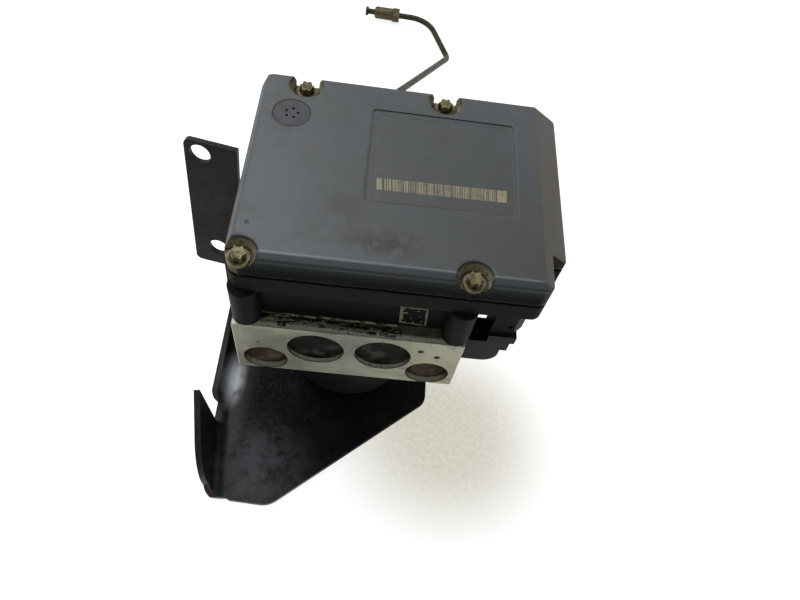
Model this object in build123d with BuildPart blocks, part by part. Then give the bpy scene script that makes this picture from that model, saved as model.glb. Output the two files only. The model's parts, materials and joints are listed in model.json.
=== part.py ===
# ABS brake module: valve block, controller, pump motor, mounting bracket and one brake pipe.
# Units are millimetres. Z is up, the floor is Z = 0 under the bracket's base plate, and the
# motor's axis is X = Y = 0. The capped accumulator bores look towards -Y.
import os
from math import atan2, cos, degrees, radians, sin, tan

from build123d import *

os.makedirs("parts", exist_ok=True)

# --- fits and clearances ---------------------------------------------------------------
RUN_FIT = 0.05        # radial, shafts, rings and pistons in their bores
SEAT_FIT = 0.03       # radial, pressed or glued pieces that stay where they are
SCREW_FIT = 0.30      # radial, a shank through a clearance hole
THREAD_FIT = 0.04     # radial, a threaded shank in its tapped hole
PISTON_GAP = 0.25     # between the pump ring's swept circle and a resting piston
BRUSH_GAP = 0.15      # between a brush and the turning commutator
SPRING_GAP = 0.05     # between a spring's ends and what they press on

# --- bracket ---------------------------------------------------------------------------
SHEET_T = 3.2
EAR_BEND_R = 8.0                # inner radii of the two bends
LIP_BEND_R = 8.5
PLATE_FRONT = -101.6
PLATE_NOSE_X = -36.0
PLATE_NOSE_R = 13.0
PLATE_RIGHT = 50.5
PLATE_RIGHT_Y = -30.0
PLATE_RIGHT_R = 8.0
PLATE_REAR = 48.0
PLATE_REAR_R = 10.0
EAR_FRONT = (-67.8, -95.3)     # foot of the tall front ear's inner face
EAR_REAR = (-72.5, -55.9)
EAR_SPLAY = 4.0                # degrees that the ear leans outwards
EAR_FRONT_H = 32.3             # where the sloping top edge would meet the upright front edge
EAR_REAR_H = 51.0
EAR_CORNER_R = 28.0            # rounds that corner off
EAR_TOE = 4.8                  # the bend runs on this far in front of the ear
EAR_TOE_H = 4.0
EAR_TOE_RISE = 8.0
PLATE_CORNER = (-58.0, -100.3)  # the front edge slants back to the ear from here
LIP_X = -74.3                  # inner face of the low left flange
LIP_H = 15.0
LIP_START = -40.4              # full height from here on
LIP_SHOULDER = 3.0             # run of the steep edge in front of it
LIP_NOTCH_H = 4.2              # height left in the notch between flange and ear
NECK_RISE_Y = 20.0
NECK_SLOPE = 4.0
NECK_TOP = 62.0
NECK_SET_IN = 1.5           # how far the neck runs into the tab's thickness
RAISED_R = 9.8                 # pressed pads that the rubber mounts stand on
RAISED_H = 6.5
RAISED_SLOPE = 2.5             # each pad's flank runs out by this much
TAB_HOLE_AT = (-88.5, 49.8, 114.7)
TAB_YAW = -8.75
TAB_LEAN = 7.9
TAB_ROLL = 0.9
TAB_W = 29.0
TAB_H = 90.8
TAB_CORNER_R = 5.5
TAB_LEFT_R = 3.5
TAB_HOLE_D = 11.6
TAB_HOLE_SIDE = 8.6            # upper hole's centre from the tab's left edge
TAB_HOLE_TOP = 7.8             # and from its top edge
TAB_HOLE_BOTTOM = 14.2          # lower hole's centre from the bottom edge
TAB_HOLE_SPACING = TAB_H - TAB_HOLE_TOP - TAB_HOLE_BOTTOM
TAB_HOLE_SHIFT = 6.0           # the lower hole sits further right than the upper one

# --- rubber mounts between bracket and motor -------------------------------------------
MOUNT_PITCH_R = 17.0
MOUNT_COUNT = 3
RUBBER_T = 4.5
RUBBER_D = 14.0
RUBBER_LOWER_T = 1.6
GROMMET_HOLE_D = 10.0
SLEEVE_D = 7.0
BOLT_D = 5.0
BOLT_HEAD_D = 8.5
BOLT_HEAD_H = 3.0
BOLT_REACH = 6.5
BOLT_SOCKET_D = 4.6
BOLT_SOCKET_DEPTH = 2.0
BOLT_BOSS_D = 9.0

# --- pump motor ------------------------------------------------------------------------
MOTOR_D = 72.0
MOTOR_L = 69.0
CAN_WALL = 2.0
CAN_FLOOR = 3.0
CAN_CORNER_R = 5.0
FLANGE_T = 5.0
MOTOR_EAR_OUT = 6.0            # screw centres stand this far outside the can
EAR_PITCH_R = MOTOR_D / 2 + MOTOR_EAR_OUT  # two screw ears, opposite each other
EAR_ANGLE = 30.0
EAR_R = 7.0
MOTOR_SCREW_D = 6.0
MOTOR_SCREW_HEAD_D = 10.0
MOTOR_SCREW_HEAD_H = 5.0
MOTOR_SCREW_REACH = 14.0
MOTOR_SCREW_SOCKET_D = 5.8
MOTOR_SCREW_SOCKET_DEPTH = 3.0
SHAFT_D = 8.0
BUSH_D = 12.0
BUSH_L = 7.5
BUSH_BOSS_D = 16.0
BEARING_D = 22.0
BEARING_W = 7.0
BEARING_INNER_D = 12.0
BEARING_OUTER_BORE = 17.6
BALL_D = 2.7
BALL_COUNT = 7
HUB_D = 29.0
HUB_H = 5.0
HUB_BORE = 15.0
MAGNET_T = 3.5
MAGNET_L = 32.0
MAGNET_ANGLE = 130.0
AIR_GAP = 0.7
CORE_L = 26.0
CORE_SLOTS = 8
SLOT_W = 4.0
SLOT_DEPTH = 10.0
WINDING_INSET = 11.0
WINDING_D = MOTOR_D - 2 * WINDING_INSET
WINDING_BORE = 18.0
WINDING_H = 4.5
COMMUTATOR_D = 22.0
COMMUTATOR_L = 11.0
BRUSH_W = 6.0
BRUSH_T = 5.0
BRUSH_L = 8.0
BRUSH_BOX_WALL = 1.2
BRUSH_BOX_L = 15.0
BRUSH_PLATE_T = 2.0
BRUSH_PLATE_DROP = 2.0
BRUSH_COIL_D = 4.0
BRUSH_WIRE_D = 0.6
BRUSH_COIL_TURNS = 3
BRUSH_PLATE_INSET = 3.0
BRUSH_PLATE_D = MOTOR_D - 2 * BRUSH_PLATE_INSET
ECCENTRIC = 1.0
ECCENTRIC_D = 12.0
ECCENTRIC_L = 9.0
RING_D = 20.0
RING_L = 8.0

# --- valve block, depths measured from its top face -------------------------------------
BLOCK_W = 105.0
BLOCK_D = 110.0
BLOCK_H = 40.0
BLOCK_EDGE = 0.5
RECESS_D = 30.0
RECESS_H = 20.0
ACC_X = (-15.1, 16.2)
ACC_DOWN = 15.9
ACC_D = 26.7
ACC_DEPTH = 33.0
ACC_CAP_T = 3.0
ACC_CAP_SETBACK = 2.2
ACC_CAP_DISH = 0.6
ACC_CAP_RIM = 1.6
ACC_PISTON_L = 7.0
ACC_CUP_DEPTH = 3.0
ACC_BOTTOM_GAP = 0.3
ACC_WIRE_D = 2.2
ACC_COIL_D = 18.0
ACC_COIL_TURNS = 4
DAMPER_INSET = (13.7, 13.5)    # bore centres from the block's left and right sides
DAMPER_X = (DAMPER_INSET[0] - BLOCK_W / 2, BLOCK_W / 2 - DAMPER_INSET[1])
DAMPER_DOWN = 29.3
DAMPER_D = 21.2
DAMPER_DEPTH = 24.0
DAMPER_PLUG_L = 4.0
DAMPER_SETBACK = 3.2
DAMPER_CORE_D = 15.5
DAMPER_STEP = 0.9
PUMP_DOWN = 29.3
PUMP_D = 10.0
PUMP_PLUG_D = 15.0
PUMP_PLUG_L = 9.0
PUMP_PLUG_SETBACK = 1.0
PUMP_PISTON_L = 15.0
PUMP_WIRE_D = 1.2
PUMP_COIL_D = 7.6
PUMP_COIL_TURNS = 4
PUMP_PLUG_SOCKET_D = 6.0
PUMP_PLUG_SOCKET_DEPTH = 4.0
VALVE_X = (-36.0, -12.0, 12.0, 36.0)
INLET_Y = 2.0
OUTLET_Y = 27.0
VALVE_D = 13.0
VALVE_DEPTH = 18.0
COLLAR_D = 12.0
COLLAR_H = 1.6
DOME_D = 8.0
DOME_H = 18.0
DOME_EDGE_R = 1.5
PORT_X = (-27.5, -9.0, 9.5, 28.0)
PIPE_PORT_X = PORT_X[0]
PORT_DOWN = 16.2
PORT_D = 8.9                   # tapping size for M10 x 1
PORT_FACE_D = 14.0
PORT_FACE_DEPTH = 0.6
PORT_DEPTHS = (14.0, 15.0, 16.0, 17.0)  # each drilling goes as far as its own gallery
INLET_PORT_X = (-39.0, 39.0)
INLET_PORT_DOWN = 29.5
INLET_PORT_D = 10.9            # tapping size for M12 x 1
INLET_PORT_DEPTHS = (18.0, 19.0)
GALLERY_D = 3.0
GALLERY_DEPTH = 18.0
GALLERY_AT = ((33.2, 7.9), (41.4, 12.0))
PUNCH_AT = (-41.5, 13.9)
PUNCH_D = 1.2
PUNCH_DEPTH = 0.6

# --- controller, heights measured from the block's top face -----------------------------
COVER_TOP = 46.35
SEAL_LINE = 33.7
SEAL_GAP = 1.5
LIP_BOTTOM = 23.3
COVER_LEFT = -52.3
COVER_FRONT = -50.95
COVER_REAR = 54.1
COVER_RIGHT = 80.9
WING_RIGHT = 88.5
WING_FRONT = -31.0
WING_TOP = 38.5
TOP_RIGHT = 76.8
TOP_LEFT = -49.6
LEFT_BEVEL_DROP = 4.0
CORNER_FL = 6.5
CORNER_FR = 5.0
CORNER_RL = 6.0
CORNER_WING = 1.5
SEAL_SETBACK = 1.1
SEAL_PAD_D = 11.0
COVER_WALL = 2.5
COVER_SKIN = 2.5
COVER_SPACE = 3.0
HOUSING_WALL = 2.5
HOUSING_FLOOR = 2.2
SKIRT_LEFT = -49.0
SKIRT_RIGHT = 51.0
SKIRT_FRONT = -46.6
SKIRT_REAR = 44.0
SKIRT_R = 3.0
GASKET_T = 1.0
GASKET_PAD = 2.0
TUBE_D = 13.0
REAR_TUBE_D = 11.2
SCREWS_FRONT = ((-46.3, -48.2), (47.8, -48.2))
SCREWS_REAR = ((-31.5, 49.4), (33.8, 49.4))
SCREW_D = 4.5
SCREW_REACH = 9.5
SCREW_HOLE_EXTRA = 0.8
SCREW_FLANGE_D = 9.2
SCREW_FLANGE_T = 1.3
SCREW_HEAD_D = 5.2
SCREW_HEAD_H = 4.6
SCREW_LOBES = 6
SCREW_LOBE_D = 1.5
POCKET_D = 16.0
POCKET_FLOOR_D = 11.4
POCKET_DEPTH = 5.0
POCKET_SLOT = 10.7
LEDGE_SIDE = 4.0               # the front-left pocket also opens to the left
LABEL_LEFT = 0.2
LABEL_RIGHT = 65.9
LABEL_FRONT = -15.3
LABEL_REAR = 39.4
LABEL_DEPTH = 0.45
LABEL_CORNER_R = 2.0
BREATHER_AT = (-35.9, 30.4)
BREATHER_D = 16.9
BREATHER_T = 1.2
BREATHER_GAP = 0.25
BREATHER_VENT_D = 9.0
BREATHER_HOLE_D = 1.3
BREATHER_HOLES = 5
BREATHER_PCD = 5.6
BOARD_T = 1.6
BOARD_LIFT = 4.5
BOARD_GAP = 0.6
POST_D = 5.0
POSTS = ((-42.0, 0.0), (0.0, -42.0), (58.0, -42.0), (80.0, 48.0), (0.0, 46.0), (58.0, 0.0))
CHIPS = (((-20.0, 10.0), 24.0, 24.0), ((18.0, 16.0), 18.0, 12.0), ((20.0, -18.0), 30.0, 10.0))
CHIP_H = 1.6
COIL_D = 20.0
COIL_L = 16.0
COIL_GAP = 0.3
TOWER_D = 4.0
TOWER_AT = 7.5                 # terminal tower's centre from the coil's axis
SHROUD_LEFT = 63.9
SHROUD_RIGHT = 79.5
SHROUD_FRONT = -45.0
SHROUD_REAR = 40.0
SHROUD_BOTTOM = -1.4
SHROUD_WALL = 2.0
SHROUD_CORNER = 5.0
DIVIDER_Y = -24.0
PIN_W = 1.5
PIN_T = 0.8
PIN_PITCH = 4.0
PIN_ROW = 5.0
PIN_COUNT = 12
PIN_DOWN = 12.0                # pin length below the housing floor
DRAIN_AT = (72.6, 5.4)
DRAIN_D = 2.2

# --- motor lead, moulded, that plugs into the controller from below -----------------------
PLUG_GAP = 0.4
PLUG_IN = 9.0
PLUG_RIM_RIGHT = 77.0
PLUG_RIM_H = 5.6
PLUG_RIGHT = 75.0
PLUG_BOTTOM = -13.9
LEAD_BOTTOM = -25.6
LEAD_CURVE_R = 7.5
LEAD_FRONT = -46.6
LEAD_DEPTH = 13.0
LEAD_GAP = 0.3
LEAD_T = 4.0
LEAD_W = 7.0
LEAD_Y = 12.0                  # where the arm goes down and into the motor can
LEAD_Z = 64.0
LEAD_SOCKET = 4.5              # the arm reaches this far into the motor can
LEAD_END = MOTOR_D / 2 - LEAD_SOCKET
ELBOW_RIGHT = 71.8
ELBOW_STEP = 1.9

# --- brake pipe ------------------------------------------------------------------------
PIPE_D = 4.75
PIPE_WALL = 0.71
PIPE_STUB = 19.5               # straight length out of the block
PIPE_IN = 11.0                 # length inside the port
PIPE_TURN = (58.4, 293.8, 6.4)
PIPE_LAST_BEND = (39.7, 342.5, 6.4)
PIPE_TIP = (-16.8, 343.8, 6.6)
PIPE_BENDS = (16.0, 11.0, 24.0)
FLARE_D = 7.4
FLARE_L = 2.4
NUT_BORE_GAP = 0.08
NUT_AF = 11.0
NUT_HEX_L = 6.2
NUT_THREAD_D = 10.0
NUT_THREAD_L = 16.0
NUT_NOSE = 1.4
NUT_TURN = 0.0
FREE_NUT_BACK = 8.0            # free nut's nose behind the pipe's tip

# --- levels worked out from the stack ---------------------------------------------------
RAISED_TOP = SHEET_T + RAISED_H
MOTOR_BOTTOM = RAISED_TOP + RUBBER_T
BLOCK_BOTTOM = MOTOR_BOTTOM + MOTOR_L
BLOCK_TOP = BLOCK_BOTTOM + BLOCK_H
BLOCK_FRONT = -BLOCK_D / 2
BLOCK_REAR = BLOCK_D / 2
BLOCK_SIDE = BLOCK_W / 2
FLANGE_BOTTOM = BLOCK_BOTTOM - FLANGE_T
CAN_R = MOTOR_D / 2
CAN_INNER_R = CAN_R - CAN_WALL
CAN_FLOOR_TOP = MOTOR_BOTTOM + CAN_FLOOR
POCKET_FLOOR = BLOCK_TOP + COVER_TOP - POCKET_DEPTH
FLOOR_TOP = BLOCK_TOP + LIP_BOTTOM + HOUSING_FLOOR
BOARD_BOTTOM = FLOOR_TOP + BOARD_LIFT
BOARD_TOP = BOARD_BOTTOM + BOARD_T
COIL_BOTTOM = BLOCK_TOP + COLLAR_H
PUMP_Z = BLOCK_TOP - PUMP_DOWN
ALL_SCREWS = SCREWS_FRONT + SCREWS_REAR


def export(part, name):
    """Name a finished piece and write its STEP file."""
    part.label = name
    export_step(part, f"parts/{name}.step")


def coil_spring(seat, length, coil_d, wire_d, turns):
    """Make a round-wire spring of that length, standing on the seat plane."""
    rise = length - wire_d - 2 * SPRING_GAP
    with BuildPart() as spring:
        with BuildLine() as wire:
            Helix(rise / turns, rise, (coil_d - wire_d) / 2)
        with BuildSketch(Plane(origin=wire.line @ 0, z_dir=wire.line % 0)):
            Circle(wire_d / 2)
        sweep(path=wire.line, is_frenet=True)
    return spring.part.moved(seat.offset(wire_d / 2 + SPRING_GAP).location)


# =======================================================================================
# Bracket: base plate, tall front ear, low left flange, neck and leaning tab
# =======================================================================================
ear_run = Vector(EAR_REAR[0] - EAR_FRONT[0], EAR_REAR[1] - EAR_FRONT[1], 0)
ear_along = ear_run.normalized()
ear_left = Vector(0, 0, 1).cross(ear_along)
ear_up = Vector(0, 0, cos(radians(EAR_SPLAY))) + ear_left * sin(radians(EAR_SPLAY))
ear_plane = Plane(origin=(*EAR_FRONT, 0), x_dir=ear_along, z_dir=ear_along.cross(ear_up))
ear_bend_end = SHEET_T + EAR_BEND_R * (1 - sin(radians(EAR_SPLAY)))
ear_bend_in = EAR_BEND_R * cos(radians(EAR_SPLAY)) - ear_bend_end * tan(radians(EAR_SPLAY))
ear_bend_front = Vector(*EAR_FRONT, 0) - ear_left * ear_bend_in - ear_along * EAR_TOE
ear_bend_rear = Vector(*EAR_REAR, 0) - ear_left * ear_bend_in
ear_slope = (EAR_REAR_H - EAR_FRONT_H) / ear_run.length

tab_front = Vector(sin(radians(TAB_YAW)), -cos(radians(TAB_YAW)), 0)
tab_normal = tab_front * cos(radians(TAB_LEAN)) + Vector(0, 0, sin(radians(TAB_LEAN)))
tab_level = Vector(cos(radians(TAB_YAW)), sin(radians(TAB_YAW)), 0)
tab_rise = tab_normal.cross(tab_level)
tab_right = tab_level * cos(radians(TAB_ROLL)) - tab_rise * sin(radians(TAB_ROLL))
tab_plane = Plane(origin=TAB_HOLE_AT, x_dir=tab_right, z_dir=tab_normal)
tab_slope = tab_rise.Y / tab_rise.Z
tab_foot_y = TAB_HOLE_AT[1] - TAB_HOLE_AT[2] * tab_slope + (LIP_X - TAB_HOLE_AT[0]) * tab_right.Y

lip_bend_x = LIP_X + LIP_BEND_R
lip_bend_top = SHEET_T + LIP_BEND_R
lip_front = EAR_REAR[1]
lip_rear = tab_foot_y + NECK_SET_IN + lip_bend_top * tab_slope
lip_side = Plane(origin=(LIP_X, 0, 0), x_dir=(0, 1, 0), z_dir=(1, 0, 0))


def bent_sheet(bend_r, splay, rise):
    """Section of the sheet that leaves the plate at the origin and bends up, outwards being +X."""
    bend_middle = (0, SHEET_T + bend_r)
    with BuildSketch() as section:
        with BuildLine():
            inner = CenterArc(bend_middle, bend_r, -90, 90 - splay)
            outer = CenterArc(bend_middle, bend_r + SHEET_T, -90, 90 - splay)
            inner_top = inner @ 1 + (inner % 1) * rise
            outer_top = outer @ 1 + (outer % 1) * rise
            Line(inner @ 0, outer @ 0)
            Line(inner @ 1, inner_top)
            Line(outer @ 1, outer_top)
            Line(inner_top, outer_top)
        make_face()
    return section.sketch


lip_section = bent_sheet(LIP_BEND_R, 0, LIP_H - lip_bend_top)
ear_section = bent_sheet(EAR_BEND_R, EAR_SPLAY, EAR_REAR_H - ear_bend_end / cos(radians(EAR_SPLAY)))

raised_taper = degrees(atan2(RAISED_SLOPE, RAISED_H))
with BuildPart() as bracket:
    with BuildSketch(Plane.XY):
        with BuildLine():
            Polyline(
                (ear_bend_front.X, ear_bend_front.Y),
                PLATE_CORNER,
                (PLATE_NOSE_X, PLATE_FRONT),
                (PLATE_RIGHT, PLATE_RIGHT_Y),
                (PLATE_RIGHT, PLATE_REAR),
                (lip_bend_x, PLATE_REAR),
                (lip_bend_x, ear_bend_rear.Y),
                (ear_bend_rear.X, ear_bend_rear.Y),
                (ear_bend_front.X, ear_bend_front.Y),
            )
        plate_face = make_face()
        fillet(plate_face.vertices().sort_by_distance((PLATE_NOSE_X, PLATE_FRONT))[0], PLATE_NOSE_R)
    extrude(amount=SHEET_T)
    right_corner = bracket.edges().filter_by(Axis.Z).sort_by_distance((PLATE_RIGHT, PLATE_RIGHT_Y, 0))[0]
    fillet(right_corner, PLATE_RIGHT_R)
    rear_corner = bracket.edges().filter_by(Axis.Z).sort_by_distance((PLATE_RIGHT, PLATE_REAR, 0))[0]
    fillet(rear_corner, PLATE_REAR_R)

    # low left flange, notched where it meets the ear
    with BuildSketch(Plane(origin=(lip_bend_x, lip_front, 0), x_dir=(-1, 0, 0), z_dir=(0, 1, 0))):
        add(lip_section)
    extrude(amount=lip_rear - lip_front)
    with BuildSketch(lip_side):
        with BuildLine():
            Polyline(
                (lip_front - SHEET_T, LIP_NOTCH_H),
                (LIP_START - LIP_SHOULDER, LIP_NOTCH_H),
                (LIP_START, LIP_H),
                (LIP_START, LIP_H + SHEET_T),
                (lip_front - SHEET_T, LIP_H + SHEET_T),
                (lip_front - SHEET_T, LIP_NOTCH_H),
            )
        make_face()
    extrude(amount=lip_bend_top, both=True, mode=Mode.SUBTRACT)

    # neck that rises from the flange to the tab
    with BuildSketch(lip_side):
        with BuildLine():
            Polyline(
                (NECK_RISE_Y, lip_bend_top),
                (NECK_RISE_Y, LIP_H),
                (NECK_RISE_Y + NECK_SLOPE, NECK_TOP),
                (tab_foot_y + NECK_TOP * tab_slope + NECK_SET_IN, NECK_TOP),
                (lip_rear, lip_bend_top),
                (NECK_RISE_Y, lip_bend_top),
            )
        make_face()
    extrude(amount=-SHEET_T)

    # tall ear, splayed a little outwards, its top edge sloping down to a round front corner
    with BuildSketch(Plane(origin=ear_bend_front, x_dir=ear_left, z_dir=ear_along)):
        add(ear_section)
    extrude(amount=ear_run.length + EAR_TOE)
    with BuildSketch(ear_plane):
        with BuildLine():
            Polyline(
                (-EAR_TOE - SHEET_T, EAR_TOE_H),
                (-EAR_TOE, EAR_TOE_H),
                (0, EAR_TOE_H + EAR_TOE_RISE),
                (0, EAR_FRONT_H),
                (ear_run.length + SHEET_T, EAR_REAR_H + SHEET_T * ear_slope),
                (-EAR_TOE - SHEET_T, EAR_REAR_H + SHEET_T * ear_slope),
                (-EAR_TOE - SHEET_T, EAR_TOE_H),
            )
        ear_outside = make_face()
        fillet(ear_outside.vertices().sort_by_distance((0, EAR_FRONT_H))[0], EAR_CORNER_R)
    extrude(amount=EAR_BEND_R + SHEET_T, both=True, mode=Mode.SUBTRACT)

    # leaning tab
    with BuildSketch(tab_plane):
        with Locations((TAB_W / 2 - TAB_HOLE_SIDE, TAB_HOLE_TOP - TAB_H / 2)):
            tab_face = Rectangle(TAB_W, TAB_H)
        tab_left = tab_face.vertices().group_by(Axis.X)[0]
        tab_right_side = tab_face.vertices().group_by(Axis.X)[-1]
        fillet(tab_left, TAB_LEFT_R)
        fillet(tab_right_side, TAB_CORNER_R)
    extrude(amount=-SHEET_T)
    with BuildSketch(tab_plane):
        with Locations((0, 0), (TAB_HOLE_SHIFT, -TAB_HOLE_SPACING)):
            Circle(TAB_HOLE_D / 2)
    extrude(amount=-SHEET_T, mode=Mode.SUBTRACT)

    # pressed pads under the motor
    with BuildSketch(Plane.XY.offset(SHEET_T)):
        with PolarLocations(MOUNT_PITCH_R, MOUNT_COUNT, start_angle=90):
            Circle(RAISED_R + RAISED_SLOPE)
    extrude(amount=RAISED_H, taper=raised_taper)
    with BuildSketch(Plane.XY):
        with PolarLocations(MOUNT_PITCH_R, MOUNT_COUNT, start_angle=90):
            Circle(RAISED_R + RAISED_SLOPE - SHEET_T)
    extrude(amount=RAISED_H, taper=raised_taper, mode=Mode.SUBTRACT)
    with BuildSketch(Plane.XY.offset(RAISED_H)):
        with PolarLocations(MOUNT_PITCH_R, MOUNT_COUNT, start_angle=90):
            Circle(GROMMET_HOLE_D / 2)
    extrude(amount=SHEET_T, mode=Mode.SUBTRACT)
export(bracket.part, "bracket")

with BuildPart() as rubber_mounts:
    with BuildSketch(Plane.XY.offset(RAISED_TOP)):
        with PolarLocations(MOUNT_PITCH_R, MOUNT_COUNT, start_angle=90):
            Circle(RUBBER_D / 2)
    extrude(amount=RUBBER_T)
    with BuildSketch(Plane.XY.offset(RAISED_H - RUBBER_LOWER_T)):
        with PolarLocations(MOUNT_PITCH_R, MOUNT_COUNT, start_angle=90):
            Circle(RUBBER_D / 2 - 1)
    extrude(amount=RUBBER_LOWER_T)
    with BuildSketch(Plane.XY.offset(RAISED_H)):
        with PolarLocations(MOUNT_PITCH_R, MOUNT_COUNT, start_angle=90):
            Circle(GROMMET_HOLE_D / 2 - SEAT_FIT)
    extrude(amount=SHEET_T)
    with BuildSketch(Plane.XY.offset(RAISED_H - RUBBER_LOWER_T)):
        with PolarLocations(MOUNT_PITCH_R, MOUNT_COUNT, start_angle=90):
            Circle(SLEEVE_D / 2 + SEAT_FIT)
    extrude(amount=MOTOR_BOTTOM - RAISED_H + RUBBER_LOWER_T, mode=Mode.SUBTRACT)
export(rubber_mounts.part, "rubber_mounts")

sleeve_bottom = RAISED_H - RUBBER_LOWER_T
with BuildPart() as mount_sleeves:
    with BuildSketch(Plane.XY.offset(sleeve_bottom)):
        with PolarLocations(MOUNT_PITCH_R, MOUNT_COUNT, start_angle=90):
            Circle(SLEEVE_D / 2)
            Circle(BOLT_D / 2 + SEAT_FIT, mode=Mode.SUBTRACT)
    extrude(amount=MOTOR_BOTTOM - sleeve_bottom)
export(mount_sleeves.part, "mount_sleeves")

with BuildPart() as mount_bolts:
    with BuildSketch(Plane.XY.offset(sleeve_bottom - BOLT_HEAD_H)):
        with PolarLocations(MOUNT_PITCH_R, MOUNT_COUNT, start_angle=90):
            Circle(BOLT_HEAD_D / 2)
    extrude(amount=BOLT_HEAD_H)
    chamfer(mount_bolts.edges().group_by(Axis.Z)[0], 0.6)
    with BuildSketch(Plane.XY.offset(sleeve_bottom)):
        with PolarLocations(MOUNT_PITCH_R, MOUNT_COUNT, start_angle=90):
            Circle(BOLT_D / 2)
    extrude(amount=MOTOR_BOTTOM + BOLT_REACH - sleeve_bottom)
    with BuildSketch(Plane.XY.offset(sleeve_bottom - BOLT_HEAD_H)):
        with PolarLocations(MOUNT_PITCH_R, MOUNT_COUNT, start_angle=90):
            RegularPolygon(BOLT_SOCKET_D / 2, 6)
    extrude(amount=BOLT_SOCKET_DEPTH, mode=Mode.SUBTRACT)
export(mount_bolts.part, "mount_bolts")

# =======================================================================================
# Pump motor
# =======================================================================================
with BuildPart() as motor_can:
    with BuildSketch(Plane.XY.offset(MOTOR_BOTTOM)):
        Circle(CAN_R)
    extrude(amount=FLANGE_BOTTOM - MOTOR_BOTTOM)
    fillet(motor_can.edges().group_by(Axis.Z)[0], CAN_CORNER_R)
    with BuildSketch(Plane.XY.offset(CAN_FLOOR_TOP)):
        Circle(CAN_INNER_R)
        Circle(BUSH_BOSS_D / 2, mode=Mode.SUBTRACT)
        with PolarLocations(MOUNT_PITCH_R, MOUNT_COUNT, start_angle=90):
            Circle(BOLT_BOSS_D / 2, mode=Mode.SUBTRACT)
    extrude(amount=BUSH_L, mode=Mode.SUBTRACT)
    with BuildSketch(Plane.XY.offset(CAN_FLOOR_TOP + BUSH_L)):
        Circle(CAN_INNER_R)
    extrude(amount=MOTOR_L, mode=Mode.SUBTRACT)
    with BuildSketch(Plane.XY.offset(CAN_FLOOR_TOP)):
        Circle(BUSH_D / 2 + SEAT_FIT)
    extrude(amount=BUSH_L, mode=Mode.SUBTRACT)
    with BuildSketch(Plane.XY.offset(MOTOR_BOTTOM)):
        with PolarLocations(MOUNT_PITCH_R, MOUNT_COUNT, start_angle=90):
            Circle(BOLT_D / 2 + THREAD_FIT)
    extrude(amount=BOLT_REACH + 0.5, mode=Mode.SUBTRACT)
    with BuildSketch(Plane.XY.offset(LEAD_Z - SEAT_FIT)):
        with Locations((CAN_R, LEAD_Y)):
            Rectangle(2 * (CAN_R - LEAD_END), LEAD_W + 2 * SEAT_FIT)
    extrude(amount=LEAD_T + 2 * SEAT_FIT, mode=Mode.SUBTRACT)
export(motor_can.part, "motor_can")

with BuildPart() as motor_flange:
    with BuildSketch(Plane.XY.offset(FLANGE_BOTTOM)):
        Circle(CAN_R + 1.5)
        with PolarLocations(EAR_PITCH_R, 2, start_angle=EAR_ANGLE):
            Circle(EAR_R)
        Rectangle(2 * EAR_PITCH_R, 2 * EAR_R, rotation=EAR_ANGLE)
    extrude(amount=FLANGE_T)
    with BuildSketch(Plane.XY.offset(BLOCK_BOTTOM)):
        Circle(HUB_D / 2)
    extrude(amount=HUB_H)
    with BuildSketch(Plane.XY.offset(FLANGE_BOTTOM)):
        Circle(BEARING_D / 2 + SEAT_FIT)
    extrude(amount=BEARING_W, mode=Mode.SUBTRACT)
    with BuildSketch(Plane.XY.offset(FLANGE_BOTTOM)):
        Circle(HUB_BORE / 2)
        with PolarLocations(EAR_PITCH_R, 2, start_angle=EAR_ANGLE):
            Circle(MOTOR_SCREW_D / 2 + SCREW_FIT)
    extrude(amount=FLANGE_T + HUB_H, mode=Mode.SUBTRACT)
export(motor_flange.part, "motor_flange")

with BuildPart() as motor_screws:
    with BuildSketch(Plane.XY.offset(FLANGE_BOTTOM - MOTOR_SCREW_HEAD_H)):
        with PolarLocations(EAR_PITCH_R, 2, start_angle=EAR_ANGLE):
            Circle(MOTOR_SCREW_HEAD_D / 2)
    extrude(amount=MOTOR_SCREW_HEAD_H)
    chamfer(motor_screws.edges().group_by(Axis.Z)[0], 0.7)
    with BuildSketch(Plane.XY.offset(FLANGE_BOTTOM)):
        with PolarLocations(EAR_PITCH_R, 2, start_angle=EAR_ANGLE):
            Circle(MOTOR_SCREW_D / 2)
    extrude(amount=FLANGE_T + MOTOR_SCREW_REACH)
    with BuildSketch(Plane.XY.offset(FLANGE_BOTTOM - MOTOR_SCREW_HEAD_H)):
        with PolarLocations(EAR_PITCH_R, 2, start_angle=EAR_ANGLE):
            RegularPolygon(MOTOR_SCREW_SOCKET_D / 2, 6)
    extrude(amount=MOTOR_SCREW_SOCKET_DEPTH, mode=Mode.SUBTRACT)
export(motor_screws.part, "motor_screws")

with BuildPart() as rear_bush:
    with BuildSketch(Plane.XY.offset(CAN_FLOOR_TOP)):
        Circle(BUSH_D / 2)
        Circle(SHAFT_D / 2 + RUN_FIT, mode=Mode.SUBTRACT)
    extrude(amount=BUSH_L)
export(rear_bush.part, "rear_bush")

bearing_middle = FLANGE_BOTTOM + BEARING_W / 2
race_pitch_r = (BEARING_INNER_D + BEARING_OUTER_BORE) / 4
with BuildPart() as bearing_outer:
    with BuildSketch(Plane.XY.offset(FLANGE_BOTTOM)):
        Circle(BEARING_D / 2)
        Circle(BEARING_OUTER_BORE / 2, mode=Mode.SUBTRACT)
    extrude(amount=BEARING_W)
export(bearing_outer.part, "bearing_outer")

with BuildPart() as bearing_inner:
    with BuildSketch(Plane.XY.offset(FLANGE_BOTTOM)):
        Circle(BEARING_INNER_D / 2)
        Circle(SHAFT_D / 2 + SEAT_FIT, mode=Mode.SUBTRACT)
    extrude(amount=BEARING_W)
export(bearing_inner.part, "bearing_inner")

with BuildPart() as bearing_balls:
    with Locations((0, 0, bearing_middle)):
        with PolarLocations(race_pitch_r, BALL_COUNT):
            Sphere(BALL_D / 2)
export(bearing_balls.part, "bearing_balls")

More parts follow.
